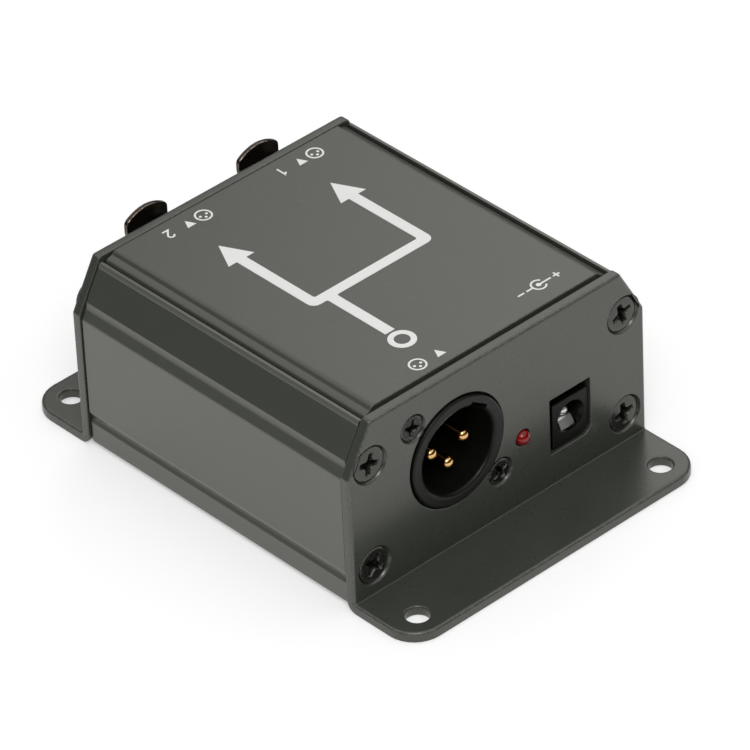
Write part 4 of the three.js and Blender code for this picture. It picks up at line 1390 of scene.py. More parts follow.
@dataclass
class Connector(ABC):
    """What the round three-pole connectors share: a collar, a flange behind the plate, legs and bosses."""

    seat: Seat
    name: str = "input"
    contact_name: str = "pin"
    screw_turns: tuple[float, float] = (0.3, -0.5)
    tail_runs: tuple[float, float, float] = (2.6, 2.6, 1.2)
    depth: float = 21.5
    bore: float = 8.3
    ledge_radius: float = 7.0
    ledge: float = 1.4
    collar_radius: float = 10.7
    collar_proud: float = 0.5
    collar_round: float = 0.4
    mouth_round: float = 0.8
    # A highlight painted on the inner round of the mouth: its strength, and the turn and spread where it lies.
    mouth_highlight: float = 14.0
    highlight_turn: float = math.radians(111)
    highlight_spread: float = math.radians(13)
    opening_gap: float = 0.3
    flange_half: float = 12.6
    flange_depth: float = 2.3
    flange_thickness: float = 2.0
    flange_round: float = 2.0
    flange_edge: float = 0.25
    flange_lap: float = 0.6
    leg_inner: float = 6.2
    leg_outer: float = 8.5
    leg_setback: float = 2.0
    boss_radius: float = 2.4
    boss_end: float = 9.8
    pilot_gap: float = 0.15
    pilot_rest: float = 0.3
    insert_gap: float = 0.3
    insert_fit: float = 0.1
    screw_offset: float = 9.9
    contact_circle: float = 3.81
    key_turn: float = math.radians(34)
    foot: float = -13.9

    def screw_places(self) -> list[tuple[float, float]]:
        """The two screws, as places about the axis."""
        return [(-self.screw_offset, self.screw_offset), (self.screw_offset, -self.screw_offset)]

    def contact_places(self) -> list[tuple[float, float]]:
        """The three contacts, as places about the axis."""
        return [(self.contact_circle, 0.0), (-self.contact_circle, 0.0), (0.0, -self.contact_circle)]

    def openings(self) -> list[Loop]:
        """The holes that the plate has for this connector.

        Returns:
            The collar's hole, then the screws' holes.
        """
        screws = [CONNECTOR_SCREW.opening(x + self.seat.x, z + self.seat.z) for x, z in self.screw_places()]
        collar = hole(self.cutout() + [self.seat.x, self.seat.z], rim(SOFT_EDGE, SOFT_EDGE, PLATE_THICKNESS))
        return [collar, *screws]

    def cutout(self) -> np.ndarray:
        """The outline of the plate's opening, about the axis."""
        return circle(0, 0, self.collar_radius + self.opening_gap)

    def barrel(self) -> bpy.types.Mesh:
        """The collar and barrel, turned from a closed section.

        Returns:
            The mesh.
        """
        outer, proud, bore = self.collar_radius, -self.collar_proud, self.bore
        _, fall, rise = quarter(ROUND_STEPS + 1)
        edge = np.column_stack([outer - self.collar_round * rise, proud + self.collar_round * fall])
        mouth = np.column_stack([bore + self.mouth_round * fall, proud + self.mouth_round * rise])
        back = self.depth - self.ledge
        border = min(BORDER, (edge[-1, 0] - mouth[0, 0]) / 3)
        profile = np.concatenate([
            [[outer, self.depth]], edge, [edge[-1] - [border, 0], mouth[0] + [border, 0]], mouth,
            [[bore, back], [self.ledge_radius, back], [self.ledge_radius, self.depth]],
        ])
        # Painted highlight: a light streak on the inner part of the mouth's round, centred at the upper left as
        # seen from outside.
        edge_mask = np.zeros(len(profile))
        edge_mask[len(edge) + 3:len(edge) + 3 + len(mouth)] = np.minimum(np.linspace(0, 2.6, len(mouth)), 1) ** 3
        angle = np.linspace(0, 2 * HALF_TURN, SIDES, endpoint=False)
        wear = self.mouth_highlight * edge_mask[:, None] * np.exp(-((angle - self.highlight_turn) / self.highlight_spread) ** 2)
        return Skin().revolve(profile, self.seat.place, closed=True, wear=wear).mesh("barrel")

    def body(self) -> list[tuple[Join, bpy.types.Mesh]]:
        """What joins the barrel behind the plate, and the screws' pilot holes.

        Returns:
            The solids, each with its way to meet the barrel.
        """
        half, foot, block = self.flange_half, self.foot, self.seat.block
        flange = rectangle(-half, half, foot, half, self.flange_round)
        start, end = self.flange_depth, self.flange_depth + self.flange_thickness
        hollow = circle(0, 0, self.collar_radius - self.flange_lap)
        rows = layer(start, end, self.flange_edge, self.flange_edge)
        parts = [(Join.ADD, self.seat.prism([Loop(flange, rows), hole(hollow, rows)], "flange"))]
        for side in (-1, 1):
            left, right = sorted((side * self.leg_inner, side * self.leg_outer))
            leg = rectangle(left, right, foot, -self.leg_outer, SOFT_EDGE)
            parts.append((Join.ADD, block(leg, start + OVERLAP, self.depth - self.leg_setback, FINE_EDGE)))
        for x, z in self.screw_places():
            boss = circle(x, z, self.boss_radius, BOSS_SIDES)
            parts.append((Join.ADD, block(boss, start + OVERLAP, self.boss_end, SOFT_EDGE)))
        for x, z in self.screw_places():
            pilot = circle(x, z, CONNECTOR_SCREW.shank_radius + self.pilot_gap, SMALL_SIDES)
            parts.append((Join.CUT, block(pilot, 0, CONNECTOR_SCREW.length + self.pilot_rest)))
        return parts

    def tailed(self, skin: Skin, seat: Seat, start: float, run: float) -> bpy.types.Mesh:
        """A contact's mesh with its solder tail."""
        return skin.sweep(seat.tail(start, self.depth + run), seat.place, TAIL_SIDES).mesh("contact")

    @property
    def insert_back(self) -> float:
        """Depth of the insert's back."""
        return self.depth - self.ledge - self.insert_gap

    @abstractmethod
    def shell(self) -> bpy.types.Mesh:
        """The shell."""

    @abstractmethod
    def insert(self) -> bpy.types.Mesh:
        """The insert that carries the contacts."""

    @abstractmethod
    def contact(self, seat: Seat, run: float) -> bpy.types.Mesh:
        """One contact, from its axis and how far behind the shell its tail turns down."""

    def build(self, bench: Bench) -> None:
        """Makes the shell, the insert, the contacts and the screws.

        Args:
            bench: Where the pieces go.
        """
        bench.fit(self.shell(), Look.SHELL_PLASTIC, f"{self.name}_shell")
        bench.fit(self.insert(), Look.SOCKET_PLASTIC, f"{self.name}_insert")
        for number, (place, run) in enumerate(zip(self.contact_places(), self.tail_runs), 1):
            mesh = self.contact(self.seat.shifted(*place), run)
            bench.fit(mesh, Look.GOLD, f"{self.name}_{self.contact_name}_{number}")
        for number, (place, turn) in enumerate(zip(self.screw_places(), self.screw_turns), 1):
            mesh = CONNECTOR_SCREW.mesh(self.seat.shifted(*place), turn)
            bench.fit(mesh, Look.CONNECTOR_SCREW, f"{self.name}_screw_{number}")


@dataclass
class InputConnector(Connector):
    """The input: a deep cup with a keyway and three pins."""

    insert_thickness: float = 4.0
    notch_half: float = 2.1
    notch_depth: float = 0.9
    notch_length: float = 4.0
    pin_radius: float = 1.2
    pin_nose: float = 1.02
    pin_gap: float = 0.06
    pin_tip: float = 1.66

    def shell(self) -> bpy.types.Mesh:
        """The shell with its keyway cut.

        Returns:
            The mesh.
        """
        half, inner, outer = self.notch_half, self.bore - OVERLAP, self.bore + self.notch_depth
        notch = rectangle(-half, half, inner, outer, [0, 0, 0.25, 0.25])
        cut = self.seat.block(turned_about(notch, self.key_turn), -2 * OVERLAP, self.notch_length)
        return combined(self.barrel(), [*self.body(), (Join.CUT, cut)])

    def insert(self) -> bpy.types.Mesh:
        """The disc that carries the pins.

        Returns:
            The mesh.
        """
        back = self.insert_back
        start = back - self.insert_thickness
        holes = [hole(circle(x, z, self.pin_radius + self.pin_gap, HOLE_SIDES), layer(start, back, 0.12, 0.05))
                 for x, z in self.contact_places()]
        disc = Loop(circle(0, 0, self.bore - self.insert_fit), layer(start, back, 0.3, 0.1))
        return self.seat.prism([disc, *holes], "insert")

    def contact(self, seat: Seat, run: float) -> bpy.types.Mesh:
        """One pin: a bar with a round tip, stepped down to its tail."""
        bar = nosed_bar(self.pin_tip, self.depth, self.pin_nose, self.pin_radius)
        return self.tailed(Skin().sweep(bar, seat.place), seat, self.depth, run)


@dataclass
class OutputConnector(Connector):
    """An output: a cup round a keyed core with three sleeves, under a latch lever."""

    name: str = "output_1"
    contact_name: str = "contact"
    screw_turns: tuple[float, float] = (-0.2, 0.6)
    depth: float = 24.0
    bore: float = 9.65
    ledge_radius: float = 7.8
    mouth_round: float = 0.5
    core_radius: float = 7.8
    core_recess: float = 0.8
    base_thickness: float = 4.6
    cup_start: float = 0.5
    rib_half: float = 1.7
    rib_foot: float = 6.8
    rib_setback: float = 0.5
    rib_height: float = 0.6
    rib_length: float = 12.0
    sleeve_bore: float = 1.15
    sleeve_depth: float = 12.0
    sleeve_fit: float = 0.02
    sleeve_recess: float = 1.8
    sleeve_mouth: float = 1.35
    slot_half: float = 4.9
    slot_top: float = 12.4
    tower_half: float = 5.6
    tower_foot: float = 9.0
    tower_wall: float = 1.4
    tower_top: float = 15.3
    room_half: float = 2.5
    room_top: float = 14.6
    room_end: float = 12.6
    pivot_depth: float = 4.0
    pivot_height: float = 12.3
    pivot_hole: float = 0.75
    spring_depth: float = 8.2
    spring_low: float = 12.2
    spring_top: float = 14.3
    spring_radius: float = 1.0
    spring_turns: float = 2.5
    spring_steps: int = 100
    spring_keep: float = 0.64
    wire_radius: float = 0.16

    def cutout(self) -> np.ndarray:
        """The collar's opening, with a slot above it that the lever moves in.

        Returns:
            The outline, (points, 2).
        """
        radius = self.collar_radius + self.opening_gap
        meet = math.acos(self.slot_half / radius)
        round_part = arc(0, 0, radius, HALF_TURN - meet, 2 * HALF_TURN + meet, SIDES)
        slot = [[self.slot_half, self.slot_top], [-self.slot_half, self.slot_top]]
        return rounded(np.concatenate([slot, round_part]), [0.5, 0.5, *np.zeros(len(round_part))])

    def shell(self) -> bpy.types.Mesh:
        """The shell with its lever tower, the lever's room and the pivot's hole.

        Returns:
            The mesh.
        """
        half, room_half = self.tower_half, self.room_half
        tower = rectangle(-half, half, self.tower_foot, self.tower_top, [0, 0, 0.4, 0.4])
        room = rectangle(-room_half, room_half, 0, self.room_top, [0, 0, 0.2, 0.2])
        block = self.seat.block
        return combined(self.barrel(), [
            *self.body(),
            (Join.ADD, block(tower, self.flange_depth, self.room_end + self.tower_wall, SOFT_EDGE)),
            (Join.CUT, block(circle(0, 0, self.bore), self.cup_start, self.depth - self.ledge)),
            (Join.CUT, block(room, -2 * OVERLAP, self.room_end)),
            (Join.CUT, self.cross_bar(half + OVERLAP, self.pivot_hole)),
        ])

    def cross_bar(self, half: float, radius: float) -> bpy.types.Mesh:
        """A round bar across the lever's pivot.

        Args:
            half: Half its length.
            radius: Its radius.

        Returns:
            The mesh.
        """
        ring = circle(self.pivot_height, self.pivot_depth, radius, SMALL_SIDES)
        ends = [np.column_stack([np.full(SMALL_SIDES, x), ring]) for x in (-half, half)]
        return Skin().tube(self.seat.place(np.stack(ends))).mesh("bar")

    def spring(self) -> bpy.types.Mesh:
        """The lever's return spring: a round wire that climbs evenly while it turns about an upright axis.

        At a share s of its length the wire's middle has turned by a = s times the whole turn and climbed s
        times the height, and a ring lies there in the plane of the axis: (R cos a, low + s h, depth + R sin a).

        Returns:
            The mesh.
        """
        share = np.linspace(0, 1, self.spring_steps + 1)[:, None]
        turn = 2 * HALF_TURN * self.spring_turns * share
        wire = circle(0, 0, self.wire_radius, SMALL_SIDES)
        low, high = self.spring_low + self.wire_radius, self.spring_top - self.wire_radius
        reach = self.spring_radius + wire[None, :, 0]
        height = low + (high - low) * share + wire[None, :, 1]
        points = np.stack([reach * np.cos(turn), height, self.spring_depth + reach * np.sin(turn)], axis=-1)
        return Skin().tube(self.seat.place(points)).mesh("spring")

    def insert(self) -> bpy.types.Mesh:
        """The core with its rib and three contact holes, on a wider base.

        Returns:
            The mesh.
        """
        front, back = self.core_recess, self.insert_back
        base = back - self.base_thickness
        holes = [hole(circle(x, z, self.sleeve_mouth, HOLE_SIDES), layer(front, back, 0.25, 0))
                 for x, z in self.contact_places()]
        disc = Loop(circle(0, 0, self.core_radius), layer(front, back, 0.5, 0.1))
        core = self.seat.prism([disc, *holes], "core")
        rows = layer(base, back, SOFT_EDGE, SOFT_EDGE)
        ring = self.seat.prism([
            Loop(circle(0, 0, self.bore - self.insert_fit), rows),
            hole(circle(0, 0, self.core_radius - OVERLAP), rows),
        ], "base")
        half, top = self.rib_half, self.core_radius + self.rib_height
        rib = turned_about(rectangle(-half, half, self.rib_foot, top, [0, 0, 0.2, 0.2]), -self.key_turn)
        rib_block = self.seat.block(rib, front + self.rib_setback, front + self.rib_length, FINE_EDGE)
        return combined(core, [(Join.ADD, ring), (Join.ADD, rib_block)])

    def contact(self, seat: Seat, run: float) -> bpy.types.Mesh:
        """One sleeve: a tube without a slit, closed at its back, with a tail.

        Args:
            seat: Its axis.
            run: How far behind the shell its tail turns down.

        Returns:
            The mesh.
        """
        front, back = self.core_recess + self.sleeve_recess, self.insert_back
        outer, bore, bottom = self.sleeve_mouth - self.sleeve_fit, self.sleeve_bore, front + self.sleeve_depth
        profile = [
            [0, bottom], [bore, bottom], [bore, front + 0.15], [outer - 0.08, front], [outer, front + 0.1],
            [outer, back], [0, back],
        ]
        return self.tailed(Skin().revolve(profile, seat.place, SMALL_SIDES), seat, back, run)

    def build(self, bench: Bench) -> None:
        """Makes what every connector has, the lever and its spring.

        Args:
            bench: Where the pieces go.
        """
        super().build(bench)
        bench.fit(LatchLever(self).mesh(), Look.BLACK_CHROME, f"{self.name}_latch")
        bench.paint(f"{self.name}_latch_pin", Look.NICKEL)
        spring = bench.fit(self.spring(), Look.NICKEL, f"{self.name}_latch_spring")
        anchor = self.seat.place(np.array([[0, self.spring_top, self.spring_depth]]))[0] * MM
        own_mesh(spring)


@dataclass
class LatchLever:
    """The lever over an output: an arm with a tooth, bent up outside into a wide lip."""

    owner: OutputConnector
    arm_half: float = 2.2
    thickness: float = 0.9
    arm_top: float = 11.9
    inner_end: float = 11.0
    arm_even: float = 8.0
    tooth: tuple[float, float, float] = (9.6, 10.8, 8.75)
    lip_offset: float = 4.0
    lip_top: float = 16.35
    lip_half: float = 4.8
    end_radius: float = 7.8
    corner_radius: float = 1.2
    bend_radius: float = 0.9
    widen_from: float = -1.3
    widen_to: float = -2.6
    edge_round: float = 0.22
    knuckle_radius: float = 1.4

    def stations(self) -> np.ndarray:
        """Rows of (depth, z, heading, half width) along the strip's middle.

        The lip's end is a shallow arc between two corner arcs, so the half width falls along it.

        Returns:
            The stations, from the inner end to the lip's end.
        """
        middle_z = self.arm_top - self.thickness / 2
        radius = self.bend_radius + self.thickness / 2
        bend = self.bend_radius - self.lip_offset
        straight = np.concatenate([[self.inner_end], np.linspace(self.arm_even, bend, 24)])
        share = np.clip((self.widen_from - straight) / (self.widen_from - self.widen_to), 0, 1)
        width = self.arm_half + (self.lip_half - self.arm_half) * share ** 2 * (3 - 2 * share)
        even = np.ones(len(straight))
        arm = np.column_stack([straight, even * middle_z, even * HALF_TURN, width])
        turn, fall, rise = (values[1:] for values in quarter(9))
        curve = np.column_stack([
            bend - radius * (1 - fall), middle_z + radius * rise, HALF_TURN - turn,
            np.full(len(turn), self.lip_half),
        ])
        centre = self.lip_top - self.end_radius
        corner_x = self.lip_half - self.corner_radius
        inner = self.end_radius - self.corner_radius
        lean = math.asin(corner_x / inner)
        small = np.linspace(0, QUARTER_TURN - lean, 7)
        large = np.linspace(lean, 0.02, 14)
        half = np.concatenate([corner_x + self.corner_radius * np.cos(small), self.end_radius * np.sin(large)])
        height = np.concatenate([
            centre + inner * math.cos(lean) + self.corner_radius * np.sin(small),
            centre + self.end_radius * np.cos(large),
        ])
        depth = bend - radius
        lip = np.column_stack([np.full(len(half), depth), height, np.full(len(half), QUARTER_TURN), half])
        return np.concatenate([arm, curve, lip])

    def strip(self) -> bpy.types.Mesh:
        """The bent strip: a rounded rectangle as wide as each station says, set across the heading.

        Returns:
            The mesh.
        """
        depth, height, heading, half = (column[:, None] for column in self.stations().T)
        thick, edge = self.thickness / 2, np.minimum(self.edge_round, half)
        angle = np.linspace(0, QUARTER_TURN, ROUND_STEPS + 1)
        turn = np.concatenate([angle + corner * QUARTER_TURN for corner in range(4)])
        corner = np.repeat(np.arange(4) + 0.5, ROUND_STEPS + 1) * QUARTER_TURN
        side, rise = np.sign(np.cos(corner)), np.sign(np.sin(corner))
        across = side * (half - edge) + edge * np.cos(turn)
        out = rise * (thick - self.edge_round) + self.edge_round * np.sin(turn)
        points = np.stack([across, height + out * np.cos(heading), depth - out * np.sin(heading)], axis=-1)
        return Skin().tube(self.owner.seat.place(points), np.abs(np.sin(2 * turn))).mesh("strip")

    def mesh(self) -> bpy.types.Mesh:
        """The strip with its tooth and knuckle, drilled for the pivot.

        Returns:
            The mesh.
        """
        owner = self.owner
        start, end, tip = self.tooth
        top = self.arm_top - self.thickness / 2
        half = self.arm_half - 0.1
        outline = np.array([[-half, tip + 0.3], [0.3 - half, tip], [half - 0.3, tip], [half, tip + 0.3],
                            [half, top], [-half, top]])
        return combined(self.strip(), [
            (Join.ADD, owner.seat.block(outline, start, end, FINE_EDGE)),
            (Join.ADD, owner.cross_bar(half, self.knuckle_radius)),
            (Join.CUT, owner.cross_bar(half + OVERLAP, owner.pivot_hole)),
        ])


@dataclass
class PowerJack:
    """The barrel power jack: a square nose with a round bore, a centre pin and a sprung contact."""

    seat: Seat
    half: float = 4.25
    top: float = 4.5
    recess: float = 0.4
    depth: float = 14.0
    bore: float = 3.1
    bore_depth: float = 10.0
    bore_lip: float = 0.12
    bore_shift: tuple[float, float] = (0.15, 0.15)
    pin_radius: float = 1.0
    pin_nose: float = 0.8
    pin_recess: float = 1.9
    pin_gap: float = 0.1
    tail_run: float = 1.4
    window_left: float = 0.95
    window_top: float = 1.9
    window_height: float = 11.6
    small_round: float = 0.3
    large_round: float = 2.0
    fit_gap: float = 0.3
    contact_half: float = 1.6
    contact_thickness: float = 0.4
    contact_setback: float = 0.95
    contact_drop: float = 3.0
    contact_rise: float = 1.75
    contact_run: float = 1.2
    crest_width: float = 1.1
    crest_end: float = 3.3
    foot: float = -6.2
    core_shift: tuple[float, float] = (0.35, 0.3)

    def __post_init__(self) -> None:
        """Places the pin and the contact, which sit a little off the nose's middle."""
        self.core = self.seat.shifted(*self.core_shift)

    def _frame(self, left: float, right: float, bottom: float, top: float) -> np.ndarray:
        """A rectangle with one large rounded corner at its lower right."""
        radii = [self.small_round, self.large_round, self.small_round, self.small_round]
        return rectangle(left, right, bottom, top, radii, CORNER_STEPS)

    def opening(self) -> Loop:
        """The window in the plate.

        Returns:
            The window's loop.
        """
        top = self.top + self.window_top
        left, right = -self.half - self.window_left, self.half + self.fit_gap
        window = self._frame(left, right, top - self.window_height, top)
        return hole(window + [self.seat.x, self.seat.z], rim(FINE_EDGE, FINE_EDGE, PLATE_THICKNESS))

    def housing(self) -> bpy.types.Mesh:
        """The moulded body with its bore and the contact's slot.

        Returns:
            The mesh.
        """
        block, start, back = self.seat.block, self.recess, self.recess + self.depth
        bottom = self.top + self.window_top - self.window_height + self.fit_gap
        nose = self._frame(-self.half, self.half, bottom, self.top)
        lower = rectangle(-self.half, self.half, self.foot, 0, [0.3, 0.3, 0, 0])
        mouth, deep = self.bore + self.bore_lip, start + self.bore_depth
        bore = Skin().revolve([
            [0, start - OVERLAP], [mouth, start - OVERLAP], [mouth, start], [self.bore, start + self.bore_lip],
            [self.bore, deep], [0, deep],
        ], self.seat.shifted(*self.bore_shift).place).mesh("bore")
        half, roof = self.contact_half + self.fit_gap, self.contact_rise + self.fit_gap - self.contact_drop
        slot = rectangle(-half, half, self.foot - OVERLAP, roof) + self.core_shift
        front = start + self.contact_setback - self.fit_gap
        pin_hole = circle(*self.core_shift, self.pin_radius + self.pin_gap, HOLE_SIDES)
        return combined(block(nose, start, back, SOFT_EDGE), [
            (Join.ADD, block(lower, PLATE_THICKNESS + self.fit_gap, back, FINE_EDGE)),
            (Join.CUT, bore),
            (Join.CUT, block(slot, front, back + OVERLAP)),
            (Join.CUT, block(pin_hole, start, back + OVERLAP)),
        ])

    def pin(self) -> bpy.types.Mesh:
        """The centre pin with a rounded nose, and its tail.

        Returns:
            The mesh.
        """
        back, place = self.recess + self.depth, self.core.place
        bar = nosed_bar(self.pin_recess, back, self.pin_nose, self.pin_radius)
        tail = self.core.tail(back, back + self.tail_run)
        return Skin().sweep(bar, place).sweep(tail, place, TAIL_SIDES).mesh("pin")

    def contact(self) -> bpy.types.Mesh:
        """The sprung strip: a crest that stands into the bore, and a foot turned down at the back.

        Returns:
            The mesh.
        """
        front, back = self.recess + self.contact_setback, self.recess + self.depth - self.fit_gap
        low, thick = -self.contact_drop, self.contact_thickness
        high = low + self.contact_rise
        crest = front + self.contact_run
        crest_to, foot_from = crest + self.crest_width, crest + self.crest_end
        end = low_high("power_jack_contact")[0][2] - self.core.z
        outline = rounded([
            [front, low - thick], [crest, high - thick], [crest_to, high - thick],
            [foot_from, low - thick], [back - thick, low - thick], [back - thick, end], [back, end], [back, low],
            [foot_from, low], [crest_to, high], [crest, high], [front, low],
        ], [0.05, 0.8, 0.8, 0.8, 0.1, 0.05, 0.05, 0.5, 0.8, 0.8, 0.8, 0.05], CORNER_STEPS)
        half = self.contact_half
        rows = rim(0.05, 0.05, 2 * half, 2, 0.04) - [0, half, 0]
        place = lambda points: self.core.place(points[..., [2, 1, 0]])
        return Skin().prism([Loop(outline, rows)], place).mesh("contact")

    def build(self, bench: Bench) -> None:
        """Makes the housing, the pin and the contact.

        Args:
            bench: Where the pieces go.
        """
        bench.fit(self.housing(), Look.JACK_PLASTIC, "power_jack_housing")
        bench.fit(self.pin(), Look.NICKEL, "power_jack_pin")
        bench.fit(self.contact(), Look.NICKEL, "power_jack_contact")


@dataclass
class StatusLamp:
    """The red lamp: a domed lens with a rim behind the plate."""

    seat: Seat
    radius: float = 1.5
    gap: float = 0.15
    proud: float = 1.15
    length: float = 5.55
    rim_radius: float = 1.9
    rim_thickness: float = 1.0

    def opening(self) -> Loop:
        """The lamp's hole in the plate."""
        outline = circle(self.seat.x, self.seat.z, self.radius + self.gap, MARK_SIDES)
        return hole(outline, rim(FINE_EDGE, 0.1, PLATE_THICKNESS))

    def build(self, bench: Bench) -> None:
        """Makes the lens and paints the leads.

        Args:
            bench: Where the pieces go.
        """
        _, fall, rise = quarter(12)
        dome = np.column_stack([self.radius * (1 - fall), self.radius * rise - self.proud])
        back = self.length - self.proud
        front = back - self.rim_thickness
        rest = [[self.radius, front], [self.rim_radius, front], [self.rim_radius, back], [0, back]]
        mesh = Skin().revolve(np.concatenate([dome, rest]), self.seat.place, MARK_SIDES).mesh("lamp")
        bench.fit(mesh, Look.LENS, "status_lamp")
        for number in (1, 2):
            bench.paint(f"status_lamp_lead_{number}", Look.NICKEL)


# The lid's print


@dataclass
class LidMarks:
    """Plain white signs on the lid: a one-into-two line plan, sockets, numerals and a polarity sign."""

    top: float
    stroke: float = 0.36
    bold: float = 2.2
    rear_row: float = 29.3
    front_row: float = -29.8
    polarity_row: float = -28.0
    plan_start: float = -19.6
    plan_split: float = -4.0
    plan_end: float = 14.5
    plan_head: float = 6.0
    output_signs: tuple[float, float, float] = (4.4, 0.9, -3.6)
    input_signs: tuple[float, float] = (-3.2, 1.6)
    sign_size: float = 2.0
    socket_radius: float = 1.5
    dot_radius: float = 0.28
    numeral_size: float = 2.2
    skin: Skin = field(default_factory=Skin)

    def _add(self, loops: Sequence[np.ndarray]) -> None:
        """Adds one flat shape with its holes, drawn as (x, y).

        Args:
            loops: The outline, then the holes.
        """
        rows = np.array([[0, 0, 0], [0, PRINT_THICKNESS, 0.0]])
        base = self.top - PRINT_THICKNESS
        place = lambda points: points + [0, 0, base + MARK_SINK]
        self.skin.prism([Loop(loops[0], rows), *(hole(loop, rows) for loop in loops[1:])], place)

    def line(self, points: Sequence[Sequence[float]], width: float) -> None:
        """A stroke of even width: each point moved half the width along its mitre, both ways.

        Args:
            points: The stroke's middle line.
            width: Its width.
        """
        path = np.asarray(points, float)
        ahead = unit(np.diff(path, axis=0))
        normal = np.column_stack([-ahead[:, 1], ahead[:, 0]])
        before, after = np.vstack([normal[:1], normal]), np.vstack([normal, normal[-1:]])
        mitre = (before + after) / (1 + np.sum(before * after, axis=1, keepdims=True))
        self._add([np.concatenate([path - mitre * width / 2, (path + mitre * width / 2)[::-1]])])

    def ring(self, x: float, y: float, radius: float, width: float) -> None:
        """A circle drawn with a stroke."""
        self._add([circle(x, y, radius + width / 2, MARK_SIDES), circle(x, y, radius - width / 2, MARK_SIDES)])

    def arrow(self, x: float, y: float) -> None:
        """A filled arrowhead that points along Y."""
        size = self.sign_size
        self._add([np.array([[x - size / 2, y], [x + size / 2, y], [x, y + size]])])

    def socket(self, x: float, y: float) -> None:
        """A circle with three dots, for a round connector.

        Args:
            x: Place across.
            y: Place along.
        """
        self.ring(x, y, self.socket_radius, self.stroke)
        reach = self.socket_radius * 0.48
        for turn in (0, HALF_TURN, -QUARTER_TURN):
            self._add([circle(x + reach * math.cos(turn), y + reach * math.sin(turn), self.dot_radius, 24)])

    def numeral(self, number: int, x: float, y: float) -> None:
        """A 1 or a 2, drawn with a stroke and read from the output side.

        Args:
            number: 1 or 2.
            x: Place across.
            y: Place along.
        """
        if number == 1:
            path = np.array([[-0.22, 0.3], [0.05, 0.5], [0.05, -0.5]])
        else:
            bow = arc(0, 0.24, 0.26, HALF_TURN * 0.95, -QUARTER_TURN * 0.45, 12)
            path = np.concatenate([bow, [[-0.28, -0.5], [0.3, -0.5]]])
        self.line(path * -self.numeral_size + [x, y], self.stroke)

    def build(self, bench: Bench, outputs: Sequence[float], input_x: float, jack_x: float) -> None:
        """Draws the signs.

        Args:
            bench: Where the piece goes.
            outputs: X of each output, the first one first.
            input_x: X of the input.
            jack_x: X of the power jack.
        """
        half = self.sign_size / 2
        for number, x in enumerate(outputs, 1):
            socket_x, arrow_x, numeral_x = (x + shift for shift in self.output_signs)
            self.socket(socket_x, self.rear_row)
            self.arrow(arrow_x, self.rear_row - half)
            self.numeral(number, numeral_x, self.rear_row)
        socket_x, arrow_x = (input_x + shift for shift in self.input_signs)
        self.socket(socket_x, self.front_row)
        self.arrow(arrow_x, self.front_row - half)
        self.plan(outputs, input_x)
        self.polarity(jack_x, self.polarity_row)
        bench.lay(self.skin.mesh("marks"), Look.PRINT, "lid_marks")

    def plan(self, outputs: Sequence[float], input_x: float) -> None:
        """A bold arrow that starts at a ring over the input and splits in two.

        Args:
            outputs: X of the two heads.
            input_x: X of the start.
        """
        start, split, end, head = self.plan_start, self.plan_split, self.plan_end, self.plan_head
        half = self.bold / 2
        right, left = max(outputs), min(outputs)
        tip = lambda x: [
            [x + half, end], [x + head / 2, end], [x, end + head], [x - head / 2, end], [x - half, end],
        ]
        corners = [
            [input_x - half, start], [input_x + half, start], [input_x + half, split - half],
            [right + half, split - half], *tip(right), [right - half, split + half],
            [left + half, split + half], *tip(left), [left - half, split - half], [input_x - half, split - half],
        ]
        radii = [0, 0, 0.4, 1.6, *[0] * 5, 0.4, 0.4, *[0] * 5, 1.6, 0.4]
        self._add([rounded(corners, radii)])
        self.ring(input_x, start - 3.0, 2.0, 1.1)

    def polarity(self, x: float, y: float) -> None:
        """A round plug's polarity: a dot joined to a plus, inside an open ring joined to a minus.

        Args:
            x: Place across.
            y: Place along.
        """
        half = self.stroke / 2
        dot, ring, gap, lead, sign, bar = 0.5, 1.35, 0.6, 2.9, 4.2, 0.75
        join = math.asin(half / dot)
        middle_dot = arc(x, y, dot, join, 2 * HALF_TURN - join, 28)
        self._add([np.concatenate([middle_dot, [[x + lead, y - half], [x + lead, y + half]]])])
        outer, inner = ring + half, ring - half
        join = math.asin(half / outer)
        upper = arc(x, y, outer, gap, HALF_TURN - join, 20)
        lower = arc(x, y, outer, HALF_TURN + join, 2 * HALF_TURN - gap, 20)
        back = arc(x, y, inner, 2 * HALF_TURN - gap, gap, 40)
        self._add([np.concatenate([upper, [[x - lead, y + half], [x - lead, y - half]], lower, back])])
        cross = np.array([[bar, -half], [bar, half], [half, half]])
        plus = np.concatenate([turned_about(cross, -step * QUARTER_TURN) for step in range(4)])
        self._add([without_doubles(plus) + [x + sign, y]])
        self.line([[x - sign - bar, y], [x - sign + bar, y]], self.stroke)


# The studio


@dataclass(frozen=True)
class Camera:
    """The photograph's camera, solved from the case's straight edges."""

    target: tuple[float, float, float] = (0.0, -5.4, 15.0)
    yaw: float = 0.72382
    pitch: float = 0.63365
    roll: float = -0.04848
    aside: tuple[float, float] = (-1.08356, 1.42808)
    distance: float = 1144.537
    focal_pixels: float = 6562.09
    image_width: int = 750
    sensor: float = 36.0

    def build(self) -> None:
        """Adds the camera: its axes are right, up and back, turned by the roll."""
        cos_pitch = math.cos(self.pitch)
        back = np.array([-math.sin(self.yaw) * cos_pitch, -math.cos(self.yaw) * cos_pitch, math.sin(self.pitch)])
        right = unit(np.cross([0, 0, 1], back))
        up = np.cross(back, right)
        cos, sin = math.cos(self.roll), math.sin(self.roll)
        right, up = cos * right + sin * up, cos * up - sin * right
        place = np.array(self.target) + self.aside[0] * right + self.aside[1] * up + self.distance * back
        data = bpy.data.cameras.new("camera")
        data.sensor_width = self.sensor
        data.lens = self.focal_pixels / self.image_width * self.sensor
        data.clip_start, data.clip_end = 0.05, 20.0
        camera = added("camera", data)
        aim(camera, right, up, back, place * MM)
        bpy.context.scene.camera = camera


